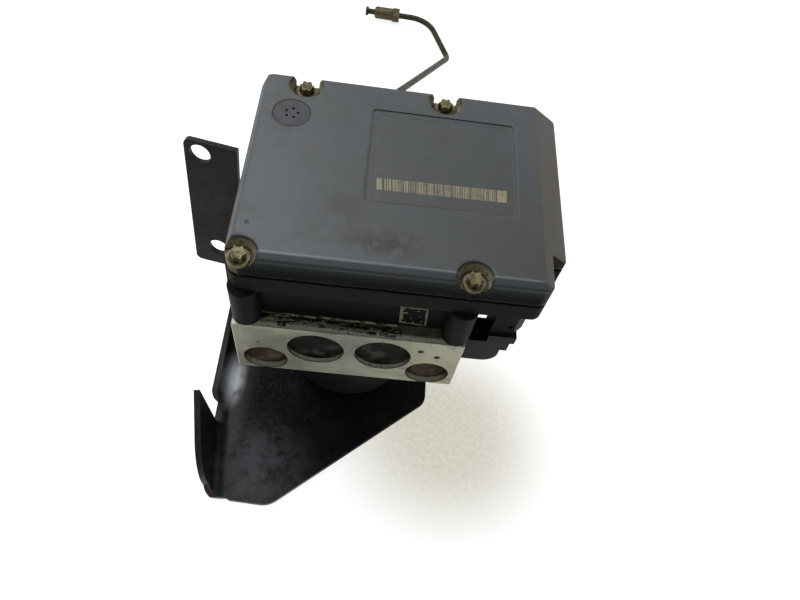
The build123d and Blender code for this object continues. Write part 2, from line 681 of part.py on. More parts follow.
core_bottom = CAN_FLOOR_TOP + BUSH_L + 1.3 + WINDING_H
core_top = core_bottom + CORE_L
core_r = CAN_INNER_R - SEAT_FIT - MAGNET_T - AIR_GAP
commutator_bottom = core_top + WINDING_H + 0.5
eccentric_bottom = PUMP_Z - ECCENTRIC_L / 2
with BuildPart() as armature_shaft:
    with BuildSketch(Plane.XY.offset(CAN_FLOOR_TOP + 0.5)):
        Circle(SHAFT_D / 2)
    extrude(amount=eccentric_bottom - CAN_FLOOR_TOP - 0.5)
    with BuildSketch(Plane.XY.offset(eccentric_bottom)):
        with Locations((0, ECCENTRIC)):
            Circle(ECCENTRIC_D / 2)
    extrude(amount=ECCENTRIC_L)
    chamfer(armature_shaft.edges().filter_by(GeomType.CIRCLE).group_by(Axis.Z)[0], 0.5)
    chamfer(armature_shaft.edges().filter_by(GeomType.CIRCLE).group_by(Axis.Z)[-1], 0.5)
export(armature_shaft.part, "armature_shaft")

with BuildPart() as armature_core:
    with BuildSketch(Plane.XY.offset(core_bottom)):
        Circle(core_r)
        with PolarLocations(core_r - SLOT_DEPTH / 2, CORE_SLOTS):
            Rectangle(SLOT_DEPTH + 1, SLOT_W, mode=Mode.SUBTRACT)
        Circle(SHAFT_D / 2 + SEAT_FIT, mode=Mode.SUBTRACT)
    extrude(amount=CORE_L)
export(armature_core.part, "armature_core")

with BuildPart() as armature_windings:
    with BuildSketch(Plane.XY.offset(core_bottom - WINDING_H)):
        Circle(WINDING_D / 2)
        Circle(WINDING_BORE / 2, mode=Mode.SUBTRACT)
    extrude(amount=WINDING_H)
    with BuildSketch(Plane.XY.offset(core_top)):
        Circle(WINDING_D / 2)
        Circle(WINDING_BORE / 2, mode=Mode.SUBTRACT)
    extrude(amount=WINDING_H)
    with BuildSketch(Plane.XY.offset(core_bottom)):
        with PolarLocations(core_r - SLOT_DEPTH / 2 - 1.5, CORE_SLOTS):
            Rectangle(SLOT_DEPTH - 4, SLOT_W - 0.4)
    extrude(amount=CORE_L)
    fillet(armature_windings.edges().filter_by(GeomType.CIRCLE).group_by(Axis.Z)[-1], 1.5)
    fillet(armature_windings.edges().filter_by(GeomType.CIRCLE).group_by(Axis.Z)[0], 1.5)
export(armature_windings.part, "armature_windings")

with BuildPart() as commutator:
    with BuildSketch(Plane.XY.offset(commutator_bottom)):
        Circle(COMMUTATOR_D / 2)
        Circle(SHAFT_D / 2 + SEAT_FIT, mode=Mode.SUBTRACT)
    extrude(amount=COMMUTATOR_L)
    with BuildSketch(Plane.XY.offset(commutator_bottom)):
        Circle(COMMUTATOR_D / 2 + 1.5)
        Circle(SHAFT_D / 2 + SEAT_FIT, mode=Mode.SUBTRACT)
    extrude(amount=1.5)
export(commutator.part, "commutator")

magnet_bottom = (core_bottom + core_top - MAGNET_L) / 2
with BuildPart() as motor_magnets:
    with BuildSketch(Plane.XY.offset(magnet_bottom)):
        Circle(CAN_INNER_R - SEAT_FIT)
        Circle(CAN_INNER_R - SEAT_FIT - MAGNET_T, mode=Mode.SUBTRACT)
        Rectangle(
            MOTOR_D,
            MOTOR_D * sin(radians((180 - MAGNET_ANGLE) / 2)),
            mode=Mode.SUBTRACT,
        )
    extrude(amount=MAGNET_L)
export(motor_magnets.part, "motor_magnets")

# brush gear, hung under the flange
brush_z = commutator_bottom + COMMUTATOR_L / 2 + 0.5
brush_start = COMMUTATOR_D / 2 + BRUSH_GAP
box_start = brush_start + 1.0
box_end = box_start + BRUSH_BOX_L
box_bottom = brush_z - BRUSH_T / 2 - BRUSH_BOX_WALL
plate_bottom = FLANGE_BOTTOM - BRUSH_PLATE_DROP - BRUSH_PLATE_T
with BuildPart() as brush_holder:
    with BuildSketch(Plane.XY.offset(plate_bottom)):
        Circle(BRUSH_PLATE_D / 2)
        Circle(COMMUTATOR_D / 2 + 2, mode=Mode.SUBTRACT)
    extrude(amount=BRUSH_PLATE_T)
    with BuildSketch(Plane.XY.offset(plate_bottom + BRUSH_PLATE_T)):
        with PolarLocations(BRUSH_PLATE_D / 2 - 5, 4, start_angle=45):
            Circle(4)
    extrude(amount=BRUSH_PLATE_DROP)
    with BuildSketch(Plane.XY.offset(box_bottom)):
        with Locations((-(box_start + box_end) / 2, 0), ((box_start + box_end) / 2, 0)):
            Rectangle(BRUSH_BOX_L, BRUSH_W + 2 * BRUSH_BOX_WALL)
    extrude(amount=plate_bottom - box_bottom)
    with BuildSketch(Plane.XY.offset(brush_z - BRUSH_T / 2 - RUN_FIT)):
        with Locations((-(box_start + box_end) / 2, 0), ((box_start + box_end) / 2, 0)):
            Rectangle(BRUSH_BOX_L - 2 * BRUSH_BOX_WALL, BRUSH_W + 2 * RUN_FIT)
        with Locations((-box_start, 0), (box_start, 0)):
            Rectangle(3 * BRUSH_BOX_WALL, BRUSH_W + 2 * RUN_FIT)
    extrude(amount=BRUSH_T + 2 * RUN_FIT, mode=Mode.SUBTRACT)
export(brush_holder.part, "brush_holder")

with BuildPart() as brushes:
    with BuildSketch(Plane.XY.offset(brush_z - BRUSH_T / 2)):
        with Locations((-brush_start - BRUSH_L / 2, 0), (brush_start + BRUSH_L / 2, 0)):
            Rectangle(BRUSH_L + 1, BRUSH_W)
        Circle(brush_start, mode=Mode.SUBTRACT)
    extrude(amount=BRUSH_T)
export(brushes.part, "brushes")

brush_end = brush_start + BRUSH_L + 0.5
brush_spring_l = box_end - BRUSH_BOX_WALL - brush_end
brush_coils = [
    coil_spring(
        Plane(origin=(side * brush_end, 0, brush_z), x_dir=(0, 1, 0), z_dir=(side, 0, 0)),
        brush_spring_l,
        BRUSH_COIL_D,
        BRUSH_WIRE_D,
        BRUSH_COIL_TURNS,
    )
    for side in (-1, 1)
]
with BuildPart() as brush_springs:
    add(brush_coils)
export(brush_springs.part, "brush_springs")

# =======================================================================================
# Valve block
# =======================================================================================
rear_plane = Plane(origin=(0, BLOCK_REAR, BLOCK_TOP), x_dir=(-1, 0, 0), z_dir=(0, 1, 0))


def front_at(y):
    """Sketch plane that looks out of the block's front, placed at depth y."""
    return Plane(origin=(0, y, BLOCK_TOP), x_dir=(1, 0, 0), z_dir=(0, -1, 0))


def side_at(side, x):
    """Sketch plane on the pump's axis that looks out of the block's side."""
    return Plane(origin=(side * x, 0, PUMP_Z), x_dir=(0, side, 0), z_dir=(side, 0, 0))


front_plane = front_at(BLOCK_FRONT)
with BuildPart() as valve_block:
    with BuildSketch(Plane.XY.offset(BLOCK_BOTTOM)):
        Rectangle(BLOCK_W, BLOCK_D)
    extrude(amount=BLOCK_H)
    chamfer(valve_block.edges(), BLOCK_EDGE)
    # bores that open to the front
    with BuildSketch(front_plane):
        with Locations(*[(x, -ACC_DOWN) for x in ACC_X]):
            Circle(ACC_D / 2)
    extrude(amount=-ACC_DEPTH, mode=Mode.SUBTRACT)
    with BuildSketch(front_plane):
        with Locations(*[(x, -DAMPER_DOWN) for x in DAMPER_X]):
            Circle(DAMPER_D / 2)
    extrude(amount=-DAMPER_DEPTH, mode=Mode.SUBTRACT)
    with BuildSketch(front_plane):
        with Locations(*[(x, -down) for x, down in GALLERY_AT]):
            Circle(GALLERY_D / 2)
    extrude(amount=-GALLERY_DEPTH, mode=Mode.SUBTRACT)
    with BuildSketch(front_plane):
        with Locations((PUNCH_AT[0], -PUNCH_AT[1])):
            Circle(PUNCH_D / 2)
    extrude(amount=-PUNCH_DEPTH, mode=Mode.SUBTRACT)
    # ports that open to the rear
    with BuildSketch(rear_plane):
        with Locations(*[(-x, -PORT_DOWN) for x in PORT_X]):
            Circle(PORT_FACE_D / 2)
    extrude(amount=-PORT_FACE_DEPTH, mode=Mode.SUBTRACT)
    for x, depth in zip(PORT_X, PORT_DEPTHS):
        with BuildSketch(rear_plane):
            with Locations((-x, -PORT_DOWN)):
                Circle(NUT_THREAD_D / 2 + THREAD_FIT if x == PIPE_PORT_X else PORT_D / 2)
        extrude(amount=-depth, mode=Mode.SUBTRACT)
    for x, depth in zip(INLET_PORT_X, INLET_PORT_DEPTHS):
        with BuildSketch(rear_plane):
            with Locations((-x, -INLET_PORT_DOWN)):
                Circle(INLET_PORT_D / 2)
        extrude(amount=-depth, mode=Mode.SUBTRACT)
    # pump recess, pump bores and motor screw holes
    with BuildSketch(Plane.XY.offset(BLOCK_BOTTOM)):
        Circle(RECESS_D / 2)
    extrude(amount=RECESS_H, mode=Mode.SUBTRACT)
    with BuildSketch(Plane.YZ.offset(-BLOCK_SIDE)):
        with Locations((0, PUMP_Z)):
            Circle(PUMP_D / 2)
    extrude(amount=BLOCK_W, mode=Mode.SUBTRACT)
    for side in (-1, 1):
        with BuildSketch(side_at(side, BLOCK_SIDE)):
            Circle(PUMP_PLUG_D / 2)
        extrude(amount=-PUMP_PLUG_L - PUMP_PLUG_SETBACK, mode=Mode.SUBTRACT)
    with BuildSketch(Plane.XY.offset(BLOCK_BOTTOM)):
        with PolarLocations(EAR_PITCH_R, 2, start_angle=EAR_ANGLE):
            Circle(MOTOR_SCREW_D / 2 + THREAD_FIT)
    extrude(amount=MOTOR_SCREW_REACH + 1, mode=Mode.SUBTRACT)
    # valve bores and controller screw holes in the top
    with BuildSketch(Plane.XY.offset(BLOCK_TOP)):
        with Locations(*[(x, y) for x in VALVE_X for y in (INLET_Y, OUTLET_Y)]):
            Circle(VALVE_D / 2 + SEAT_FIT)
    extrude(amount=-VALVE_DEPTH, mode=Mode.SUBTRACT)
    with BuildSketch(Plane.XY.offset(BLOCK_TOP)):
        with Locations(*ALL_SCREWS):
            Circle(SCREW_D / 2 + THREAD_FIT)
    extrude(amount=-SCREW_REACH - SCREW_HOLE_EXTRA, mode=Mode.SUBTRACT)
export(valve_block.part, "valve_block")

for row_name, row_y in (("inlet_valves", INLET_Y), ("outlet_valves", OUTLET_Y)):
    with BuildPart() as valve_row:
        with BuildSketch(Plane.XY.offset(BLOCK_TOP - VALVE_DEPTH)):
            with Locations(*[(x, row_y) for x in VALVE_X]):
                Circle(VALVE_D / 2)
        extrude(amount=VALVE_DEPTH)
        with BuildSketch(Plane.XY.offset(BLOCK_TOP)):
            with Locations(*[(x, row_y) for x in VALVE_X]):
                Circle(COLLAR_D / 2)
        extrude(amount=COLLAR_H)
        with BuildSketch(Plane.XY.offset(BLOCK_TOP + COLLAR_H)):
            with Locations(*[(x, row_y) for x in VALVE_X]):
                Circle(DOME_D / 2)
        extrude(amount=DOME_H - COLLAR_H)
        fillet(valve_row.edges().group_by(Axis.Z)[-1], DOME_EDGE_R)
    export(valve_row.part, row_name)

# accumulators: a staked cap, a spring and a piston in each large bore
acc_bottom = BLOCK_FRONT + ACC_DEPTH
acc_cap_front = BLOCK_FRONT + ACC_CAP_SETBACK
acc_cap_back = acc_cap_front + ACC_CAP_T
acc_piston_back = acc_bottom - ACC_BOTTOM_GAP
acc_piston_front = acc_piston_back - ACC_PISTON_L
acc_spring_seat = acc_piston_front + ACC_CUP_DEPTH
acc_spring_l = acc_spring_seat - acc_cap_back
for side_name, x in zip(("left", "right"), ACC_X):
    with BuildPart() as accumulator_cap:
        with BuildSketch(front_at(acc_cap_back)):
            with Locations((x, -ACC_DOWN)):
                Circle(ACC_D / 2 - SEAT_FIT)
        extrude(amount=ACC_CAP_T)
        with BuildSketch(front_at(acc_cap_front)):
            with Locations((x, -ACC_DOWN)):
                Circle(ACC_D / 2 - ACC_CAP_RIM)
        extrude(amount=-ACC_CAP_DISH, mode=Mode.SUBTRACT)
    export(accumulator_cap.part, f"accumulator_cap_{side_name}")

    with BuildPart() as accumulator_piston:
        with BuildSketch(front_at(acc_piston_back)):
            with Locations((x, -ACC_DOWN)):
                Circle(ACC_D / 2 - RUN_FIT)
        extrude(amount=ACC_PISTON_L)
        with BuildSketch(front_at(acc_piston_front)):
            with Locations((x, -ACC_DOWN)):
                Circle(ACC_D / 2 - ACC_CAP_RIM)
        extrude(amount=-ACC_CUP_DEPTH, mode=Mode.SUBTRACT)
    export(accumulator_piston.part, f"accumulator_piston_{side_name}")

    seat = Plane(origin=(x, acc_spring_seat, BLOCK_TOP - ACC_DOWN), x_dir=(1, 0, 0), z_dir=(0, -1, 0))
    acc_coil = coil_spring(seat, acc_spring_l, ACC_COIL_D, ACC_WIRE_D, ACC_COIL_TURNS)
    with BuildPart() as accumulator_spring:
        add(acc_coil)
    export(accumulator_spring.part, f"accumulator_spring_{side_name}")

# dampers: a stepped plug in each small bore
damper_front = BLOCK_FRONT + DAMPER_SETBACK
for side_name, x in zip(("left", "right"), DAMPER_X):
    with BuildPart() as damper_plug:
        with BuildSketch(front_at(damper_front + DAMPER_PLUG_L)):
            with Locations((x, -DAMPER_DOWN)):
                Circle(DAMPER_D / 2 - SEAT_FIT)
        extrude(amount=DAMPER_PLUG_L)
        with BuildSketch(front_at(damper_front)):
            with Locations((x, -DAMPER_DOWN)):
                Circle(DAMPER_CORE_D / 2)
        extrude(amount=DAMPER_STEP)
    export(damper_plug.part, f"damper_plug_{side_name}")

# pump: two opposed pistons driven by the ring on the eccentric
pump_tip = RING_D / 2 + ECCENTRIC + PISTON_GAP
plug_back = BLOCK_SIDE - PUMP_PLUG_SETBACK - PUMP_PLUG_L
pump_spring_l = plug_back - pump_tip - PUMP_PISTON_L
for side_name, side in (("left", -1), ("right", 1)):
    with BuildPart() as pump_piston:
        with BuildSketch(side_at(side, pump_tip)):
            Circle(PUMP_D / 2 - RUN_FIT)
        extrude(amount=PUMP_PISTON_L)
        chamfer(pump_piston.edges().filter_by(GeomType.CIRCLE), 0.5)
    export(pump_piston.part, f"pump_piston_{side_name}")

    seat = side_at(side, pump_tip + PUMP_PISTON_L)
    pump_coil = coil_spring(seat, pump_spring_l, PUMP_COIL_D, PUMP_WIRE_D, PUMP_COIL_TURNS)
    with BuildPart() as pump_spring:
        add(pump_coil)
    export(pump_spring.part, f"pump_spring_{side_name}")

    with BuildPart() as pump_plug:
        with BuildSketch(side_at(side, plug_back)):
            Circle(PUMP_PLUG_D / 2 - SEAT_FIT)
        extrude(amount=PUMP_PLUG_L)
        with BuildSketch(side_at(side, plug_back + PUMP_PLUG_L)):
            RegularPolygon(PUMP_PLUG_SOCKET_D / 2, 6)
        extrude(amount=-PUMP_PLUG_SOCKET_DEPTH, mode=Mode.SUBTRACT)
    export(pump_plug.part, f"pump_plug_{side_name}")

with BuildPart() as pump_ring:
    with BuildSketch(Plane.XY.offset(PUMP_Z - RING_L / 2)):
        with Locations((0, ECCENTRIC)):
            Circle(RING_D / 2)
            Circle(ECCENTRIC_D / 2 + RUN_FIT, mode=Mode.SUBTRACT)
    extrude(amount=RING_L)
export(pump_ring.part, "pump_ring")

# =======================================================================================
# Controller: cover, seal, housing, board, coils, pins and screws
# =======================================================================================
cover_bottom = BLOCK_TOP + SEAL_LINE + SEAL_GAP / 2
cover_top = BLOCK_TOP + COVER_TOP
housing_top = BLOCK_TOP + SEAL_LINE - SEAL_GAP / 2
lip_bottom = BLOCK_TOP + LIP_BOTTOM
bevel_top = (TOP_RIGHT, cover_top)
bevel_foot = (WING_RIGHT, BLOCK_TOP + WING_TOP)
tube_sizes = [(at, TUBE_D) for at in SCREWS_FRONT] + [(at, REAR_TUBE_D) for at in SCREWS_REAR]

with BuildSketch() as outline:
    with BuildLine():
        Polyline(
            (COVER_LEFT, COVER_FRONT),
            (COVER_RIGHT, COVER_FRONT),
            (COVER_RIGHT, WING_FRONT),
            (WING_RIGHT, WING_FRONT),
            (WING_RIGHT, COVER_REAR),
            (COVER_LEFT, COVER_REAR),
            (COVER_LEFT, COVER_FRONT),
        )
    make_face()
    for corner, radius in (
        ((COVER_LEFT, COVER_FRONT), CORNER_FL),
        ((COVER_RIGHT, COVER_FRONT), CORNER_FR),
        ((WING_RIGHT, WING_FRONT), CORNER_WING),
        ((WING_RIGHT, COVER_REAR), CORNER_WING),
        ((COVER_LEFT, COVER_REAR), CORNER_RL),
    ):
        fillet(outline.vertices().sort_by_distance((*corner, 0))[0], radius)

with BuildSketch() as inner_outline:
    add(outline.sketch)
    offset(amount=-COVER_WALL, kind=Kind.INTERSECTION, mode=Mode.REPLACE)

with BuildPart() as controller_cover:
    with BuildSketch(Plane.XY.offset(cover_bottom)):
        add(outline.sketch)
    extrude(amount=cover_top - cover_bottom)
    # slopes along the left edge and the right side
    with BuildSketch(Plane(origin=(0, COVER_FRONT, 0), x_dir=(1, 0, 0), z_dir=(0, -1, 0))):
        with BuildLine():
            Polyline(
                (TOP_LEFT, cover_top),
                (COVER_LEFT, cover_top - LEFT_BEVEL_DROP),
                (COVER_LEFT - 1, cover_top + 1),
                (TOP_LEFT, cover_top),
            )
        make_face()
        with BuildLine():
            Polyline(
                bevel_top,
                bevel_foot,
                (WING_RIGHT + 1, bevel_foot[1]),
                (WING_RIGHT + 1, cover_top + 1),
                (TOP_RIGHT, cover_top + 1),
                bevel_top,
            )
        make_face()
    extrude(amount=COVER_FRONT - COVER_REAR, mode=Mode.SUBTRACT)
    # hollow with columns for the screws
    with BuildSketch(Plane.XY.offset(cover_bottom)):
        add(inner_outline.sketch)
        with Locations(*[at for at, size in tube_sizes]):
            Circle(TUBE_D / 2, mode=Mode.SUBTRACT)
    extrude(amount=COVER_SPACE, mode=Mode.SUBTRACT)
    # screw pockets, open towards the nearest edge
    for x, y in ALL_SCREWS:
        with Locations((x, y, POCKET_FLOOR + POCKET_DEPTH / 2)):
            Cone(POCKET_FLOOR_D / 2, POCKET_D / 2, POCKET_DEPTH, mode=Mode.SUBTRACT)
        with BuildSketch(Plane.XY.offset(POCKET_FLOOR)):
            with Locations((x, y + (POCKET_SLOT if y > 0 else -POCKET_SLOT) / 2)):
                Rectangle(POCKET_SLOT, POCKET_SLOT)
        extrude(amount=POCKET_DEPTH, mode=Mode.SUBTRACT)
    with BuildSketch(Plane.XY.offset(POCKET_FLOOR)):
        with Locations(SCREWS_FRONT[0]):
            with Locations((-POCKET_SLOT / 2, -POCKET_SLOT / 2 + LEDGE_SIDE / 2)):
                Rectangle(POCKET_SLOT, POCKET_SLOT + LEDGE_SIDE)
    extrude(amount=POCKET_DEPTH, mode=Mode.SUBTRACT)
    with BuildSketch(Plane.XY.offset(cover_bottom)):
        with Locations(*ALL_SCREWS):
            Circle(SCREW_D / 2 + SCREW_FIT)
    extrude(amount=POCKET_FLOOR - cover_bottom, mode=Mode.SUBTRACT)
    # label recess and breather seat
    with BuildSketch(Plane.XY.offset(cover_top)):
        with Locations(((LABEL_LEFT + LABEL_RIGHT) / 2, (LABEL_FRONT + LABEL_REAR) / 2)):
            RectangleRounded(LABEL_RIGHT - LABEL_LEFT, LABEL_REAR - LABEL_FRONT, LABEL_CORNER_R)
    extrude(amount=-LABEL_DEPTH, mode=Mode.SUBTRACT)
    with BuildSketch(Plane.XY.offset(cover_top)):
        with Locations(BREATHER_AT):
            Circle(BREATHER_D / 2)
    extrude(amount=-BREATHER_T, mode=Mode.SUBTRACT)
    with BuildSketch(Plane.XY.offset(cover_top)):
        with Locations(BREATHER_AT):
            Circle(BREATHER_VENT_D / 2)
    extrude(amount=-COVER_SKIN - 1, mode=Mode.SUBTRACT)
export(controller_cover.part, "controller_cover")

with BuildPart() as breather_disc:
    with BuildSketch(Plane.XY.offset(cover_top - BREATHER_T)):
        with Locations(BREATHER_AT):
            Circle(BREATHER_D / 2 - BREATHER_GAP)
            with PolarLocations(BREATHER_PCD / 2, BREATHER_HOLES, start_angle=80):
                Circle(BREATHER_HOLE_D / 2, mode=Mode.SUBTRACT)
    extrude(amount=BREATHER_T)
export(breather_disc.part, "breather_disc")

with BuildPart() as cover_seal:
    with BuildSketch(Plane.XY.offset(housing_top)) as seal_ring:
        add(outline.sketch)
        offset(amount=-SEAL_SETBACK, kind=Kind.INTERSECTION, mode=Mode.REPLACE)
        with BuildSketch(mode=Mode.SUBTRACT) as seal_inside:
            add(inner_outline.sketch)
            with Locations(*ALL_SCREWS):
                Circle(SEAL_PAD_D / 2, mode=Mode.SUBTRACT)
        with Locations(*ALL_SCREWS):
            Circle(SCREW_D / 2 + SCREW_FIT, mode=Mode.SUBTRACT)
    extrude(amount=SEAL_GAP)
export(cover_seal.part, "cover_seal")

pin_x = (SHROUD_LEFT + SHROUD_RIGHT) / 2
pin_y = (DIVIDER_Y + SHROUD_WALL / 2 + SHROUD_REAR - SHROUD_WALL) / 2
with BuildPart() as controller_housing:
    with BuildSketch(Plane.XY.offset(lip_bottom)):
        add(outline.sketch)
    extrude(amount=housing_top - lip_bottom)
    # skirt over the valves
    with BuildSketch(Plane.XY.offset(BLOCK_TOP + GASKET_T)):
        with Locations(((SKIRT_LEFT + SKIRT_RIGHT) / 2, (SKIRT_FRONT + SKIRT_REAR) / 2)):
            RectangleRounded(SKIRT_RIGHT - SKIRT_LEFT, SKIRT_REAR - SKIRT_FRONT, SKIRT_R)
    extrude(amount=lip_bottom - BLOCK_TOP - GASKET_T)
    # connector shroud that hangs beside the block
    with BuildSketch(Plane.XY.offset(BLOCK_TOP + SHROUD_BOTTOM)) as shroud:
        with Locations(((SHROUD_LEFT + SHROUD_RIGHT) / 2, (SHROUD_FRONT + SHROUD_REAR) / 2)):
            Rectangle(SHROUD_RIGHT - SHROUD_LEFT, SHROUD_REAR - SHROUD_FRONT)
        chamfer(shroud.vertices().sort_by_distance((SHROUD_RIGHT, SHROUD_FRONT, 0))[0], SHROUD_CORNER)
    extrude(amount=lip_bottom - BLOCK_TOP - SHROUD_BOTTOM)
    # screw tubes that stand on the block
    for at, size in tube_sizes:
        with BuildSketch(Plane.XY.offset(BLOCK_TOP)):
            with Locations(at):
                Circle(size / 2)
        extrude(amount=lip_bottom - BLOCK_TOP)
    # inside of the tray, leaving the tubes and the board's posts
    with BuildSketch(Plane.XY.offset(FLOOR_TOP)):
        add(inner_outline.sketch)
        with Locations(*ALL_SCREWS):
            Circle(TUBE_D / 2, mode=Mode.SUBTRACT)
        with Locations(*POSTS):
            Circle(POST_D / 2, mode=Mode.SUBTRACT)
    extrude(amount=BOARD_BOTTOM - FLOOR_TOP, mode=Mode.SUBTRACT)
    with BuildSketch(Plane.XY.offset(BOARD_BOTTOM)):
        add(inner_outline.sketch)
        with Locations(*ALL_SCREWS):
            Circle(TUBE_D / 2, mode=Mode.SUBTRACT)
    extrude(amount=housing_top - BOARD_BOTTOM, mode=Mode.SUBTRACT)
    # inside of the skirt
    with BuildSketch(Plane.XY.offset(BLOCK_TOP + GASKET_T)):
        with Locations(((SKIRT_LEFT + SKIRT_RIGHT) / 2, (SKIRT_FRONT + SKIRT_REAR) / 2)):
            Rectangle(
                SKIRT_RIGHT - SKIRT_LEFT - 2 * HOUSING_WALL,
                SKIRT_REAR - SKIRT_FRONT - 2 * HOUSING_WALL,
            )
        with Locations(*ALL_SCREWS):
            Circle(TUBE_D / 2, mode=Mode.SUBTRACT)
    extrude(amount=lip_bottom - BLOCK_TOP - GASKET_T, mode=Mode.SUBTRACT)
    # front and rear compartments of the shroud
    with BuildSketch(Plane.XY.offset(BLOCK_TOP + SHROUD_BOTTOM)):
        add(shroud.sketch)
        offset(amount=-SHROUD_WALL, kind=Kind.INTERSECTION, mode=Mode.REPLACE)
        with Locations((pin_x, DIVIDER_Y)):
            Rectangle(2 * SHROUD_RIGHT, SHROUD_WALL, mode=Mode.SUBTRACT)
    extrude(amount=lip_bottom - BLOCK_TOP - SHROUD_BOTTOM, mode=Mode.SUBTRACT)
    # drain hole in the shroud's front
    with BuildSketch(Plane(origin=(0, SHROUD_FRONT, 0), x_dir=(1, 0, 0), z_dir=(0, -1, 0))):
        with Locations((DRAIN_AT[0], BLOCK_TOP + DRAIN_AT[1])):
            Circle(DRAIN_D / 2)
    extrude(amount=-SHROUD_WALL, mode=Mode.SUBTRACT)
    # screw holes, coil tower holes and pin slots
    with BuildSketch(Plane.XY.offset(BLOCK_TOP)):
        with Locations(*ALL_SCREWS):
            Circle(SCREW_D / 2 + SCREW_FIT)
    extrude(amount=housing_top - BLOCK_TOP, mode=Mode.SUBTRACT)
    with BuildSketch(Plane.XY.offset(lip_bottom)):
        with Locations(*[(x, y + TOWER_AT) for x in VALVE_X for y in (INLET_Y, OUTLET_Y)]):
            Circle(TOWER_D / 2 + SCREW_FIT)
        with Locations((pin_x, pin_y)):
            with GridLocations(PIN_ROW, PIN_PITCH, 2, PIN_COUNT):
                Rectangle(PIN_T + 2 * SEAT_FIT, PIN_W + 2 * SEAT_FIT)
    extrude(amount=HOUSING_FLOOR, mode=Mode.SUBTRACT)
export(controller_housing.part, "controller_housing")

with BuildPart() as housing_gasket:
    with BuildSketch(Plane.XY.offset(BLOCK_TOP)):
        with Locations(((SKIRT_LEFT + SKIRT_RIGHT) / 2, (SKIRT_FRONT + SKIRT_REAR) / 2)):
            RectangleRounded(SKIRT_RIGHT - SKIRT_LEFT, SKIRT_REAR - SKIRT_FRONT, SKIRT_R)
        with BuildSketch(mode=Mode.SUBTRACT):
            with Locations(((SKIRT_LEFT + SKIRT_RIGHT) / 2, (SKIRT_FRONT + SKIRT_REAR) / 2)):
                Rectangle(
                    SKIRT_RIGHT - SKIRT_LEFT - 2 * HOUSING_WALL,
                    SKIRT_REAR - SKIRT_FRONT - 2 * HOUSING_WALL,
                )
            with Locations(*ALL_SCREWS):
                Circle(TUBE_D / 2 + GASKET_PAD, mode=Mode.SUBTRACT)
        for at, size in tube_sizes:
            with Locations(at):
                Circle(size / 2 + SEAT_FIT, mode=Mode.SUBTRACT)
    extrude(amount=GASKET_T)
export(housing_gasket.part, "housing_gasket")

with BuildPart() as circuit_board:
    with BuildSketch(Plane.XY.offset(BOARD_BOTTOM)):
        add(inner_outline.sketch)
        offset(amount=-BOARD_GAP, kind=Kind.INTERSECTION, mode=Mode.REPLACE)
        with Locations(*ALL_SCREWS):
            Circle(TUBE_D / 2 + BOARD_GAP, mode=Mode.SUBTRACT)
    extrude(amount=BOARD_T)
    with BuildSketch(Plane.XY.offset(BOARD_TOP)):
        for at, width, depth in CHIPS:
            with Locations(at):
                Rectangle(width, depth)
    extrude(amount=CHIP_H)
export(circuit_board.part, "circuit_board")

with BuildPart() as connector_pins:
    with BuildSketch(Plane.XY.offset(lip_bottom - PIN_DOWN)):
        with Locations((pin_x, pin_y)):
            with GridLocations(PIN_ROW, PIN_PITCH, 2, PIN_COUNT):
                Rectangle(PIN_T, PIN_W)
    extrude(amount=BOARD_BOTTOM - lip_bottom + PIN_DOWN)
export(connector_pins.part, "connector_pins")

with BuildPart() as solenoid_coils:
    with BuildSketch(Plane.XY.offset(COIL_BOTTOM)):
        with Locations(*[(x, y) for x in VALVE_X for y in (INLET_Y, OUTLET_Y)]):
            Circle(COIL_D / 2)
            Circle(DOME_D / 2 + COIL_GAP, mode=Mode.SUBTRACT)
    extrude(amount=COIL_L)
    with BuildSketch(Plane.XY.offset(COIL_BOTTOM + COIL_L)):
        with Locations(*[(x, y + TOWER_AT) for x in VALVE_X for y in (INLET_Y, OUTLET_Y)]):
            Circle(TOWER_D / 2)
    extrude(amount=BOARD_BOTTOM - COIL_BOTTOM - COIL_L)
export(solenoid_coils.part, "solenoid_coils")

with BuildPart() as cover_screws:
    with BuildSketch(Plane.XY.offset(POCKET_FLOOR)):
        with Locations(*ALL_SCREWS):
            Circle(SCREW_FLANGE_D / 2)
    extrude(amount=SCREW_FLANGE_T)
    with BuildSketch(Plane.XY.offset(POCKET_FLOOR + SCREW_FLANGE_T)):
        with Locations(*ALL_SCREWS):
            Circle(SCREW_HEAD_D / 2)
            with PolarLocations(SCREW_HEAD_D / 2, SCREW_LOBES):
                Circle(SCREW_LOBE_D / 2)
    extrude(amount=SCREW_HEAD_H - SCREW_FLANGE_T)
    with BuildSketch(Plane.XY.offset(POCKET_FLOOR)):
        with Locations(*ALL_SCREWS):
            Circle(SCREW_D / 2)
    extrude(amount=BLOCK_TOP - SCREW_REACH - POCKET_FLOOR)
export(cover_screws.part, "cover_screws")

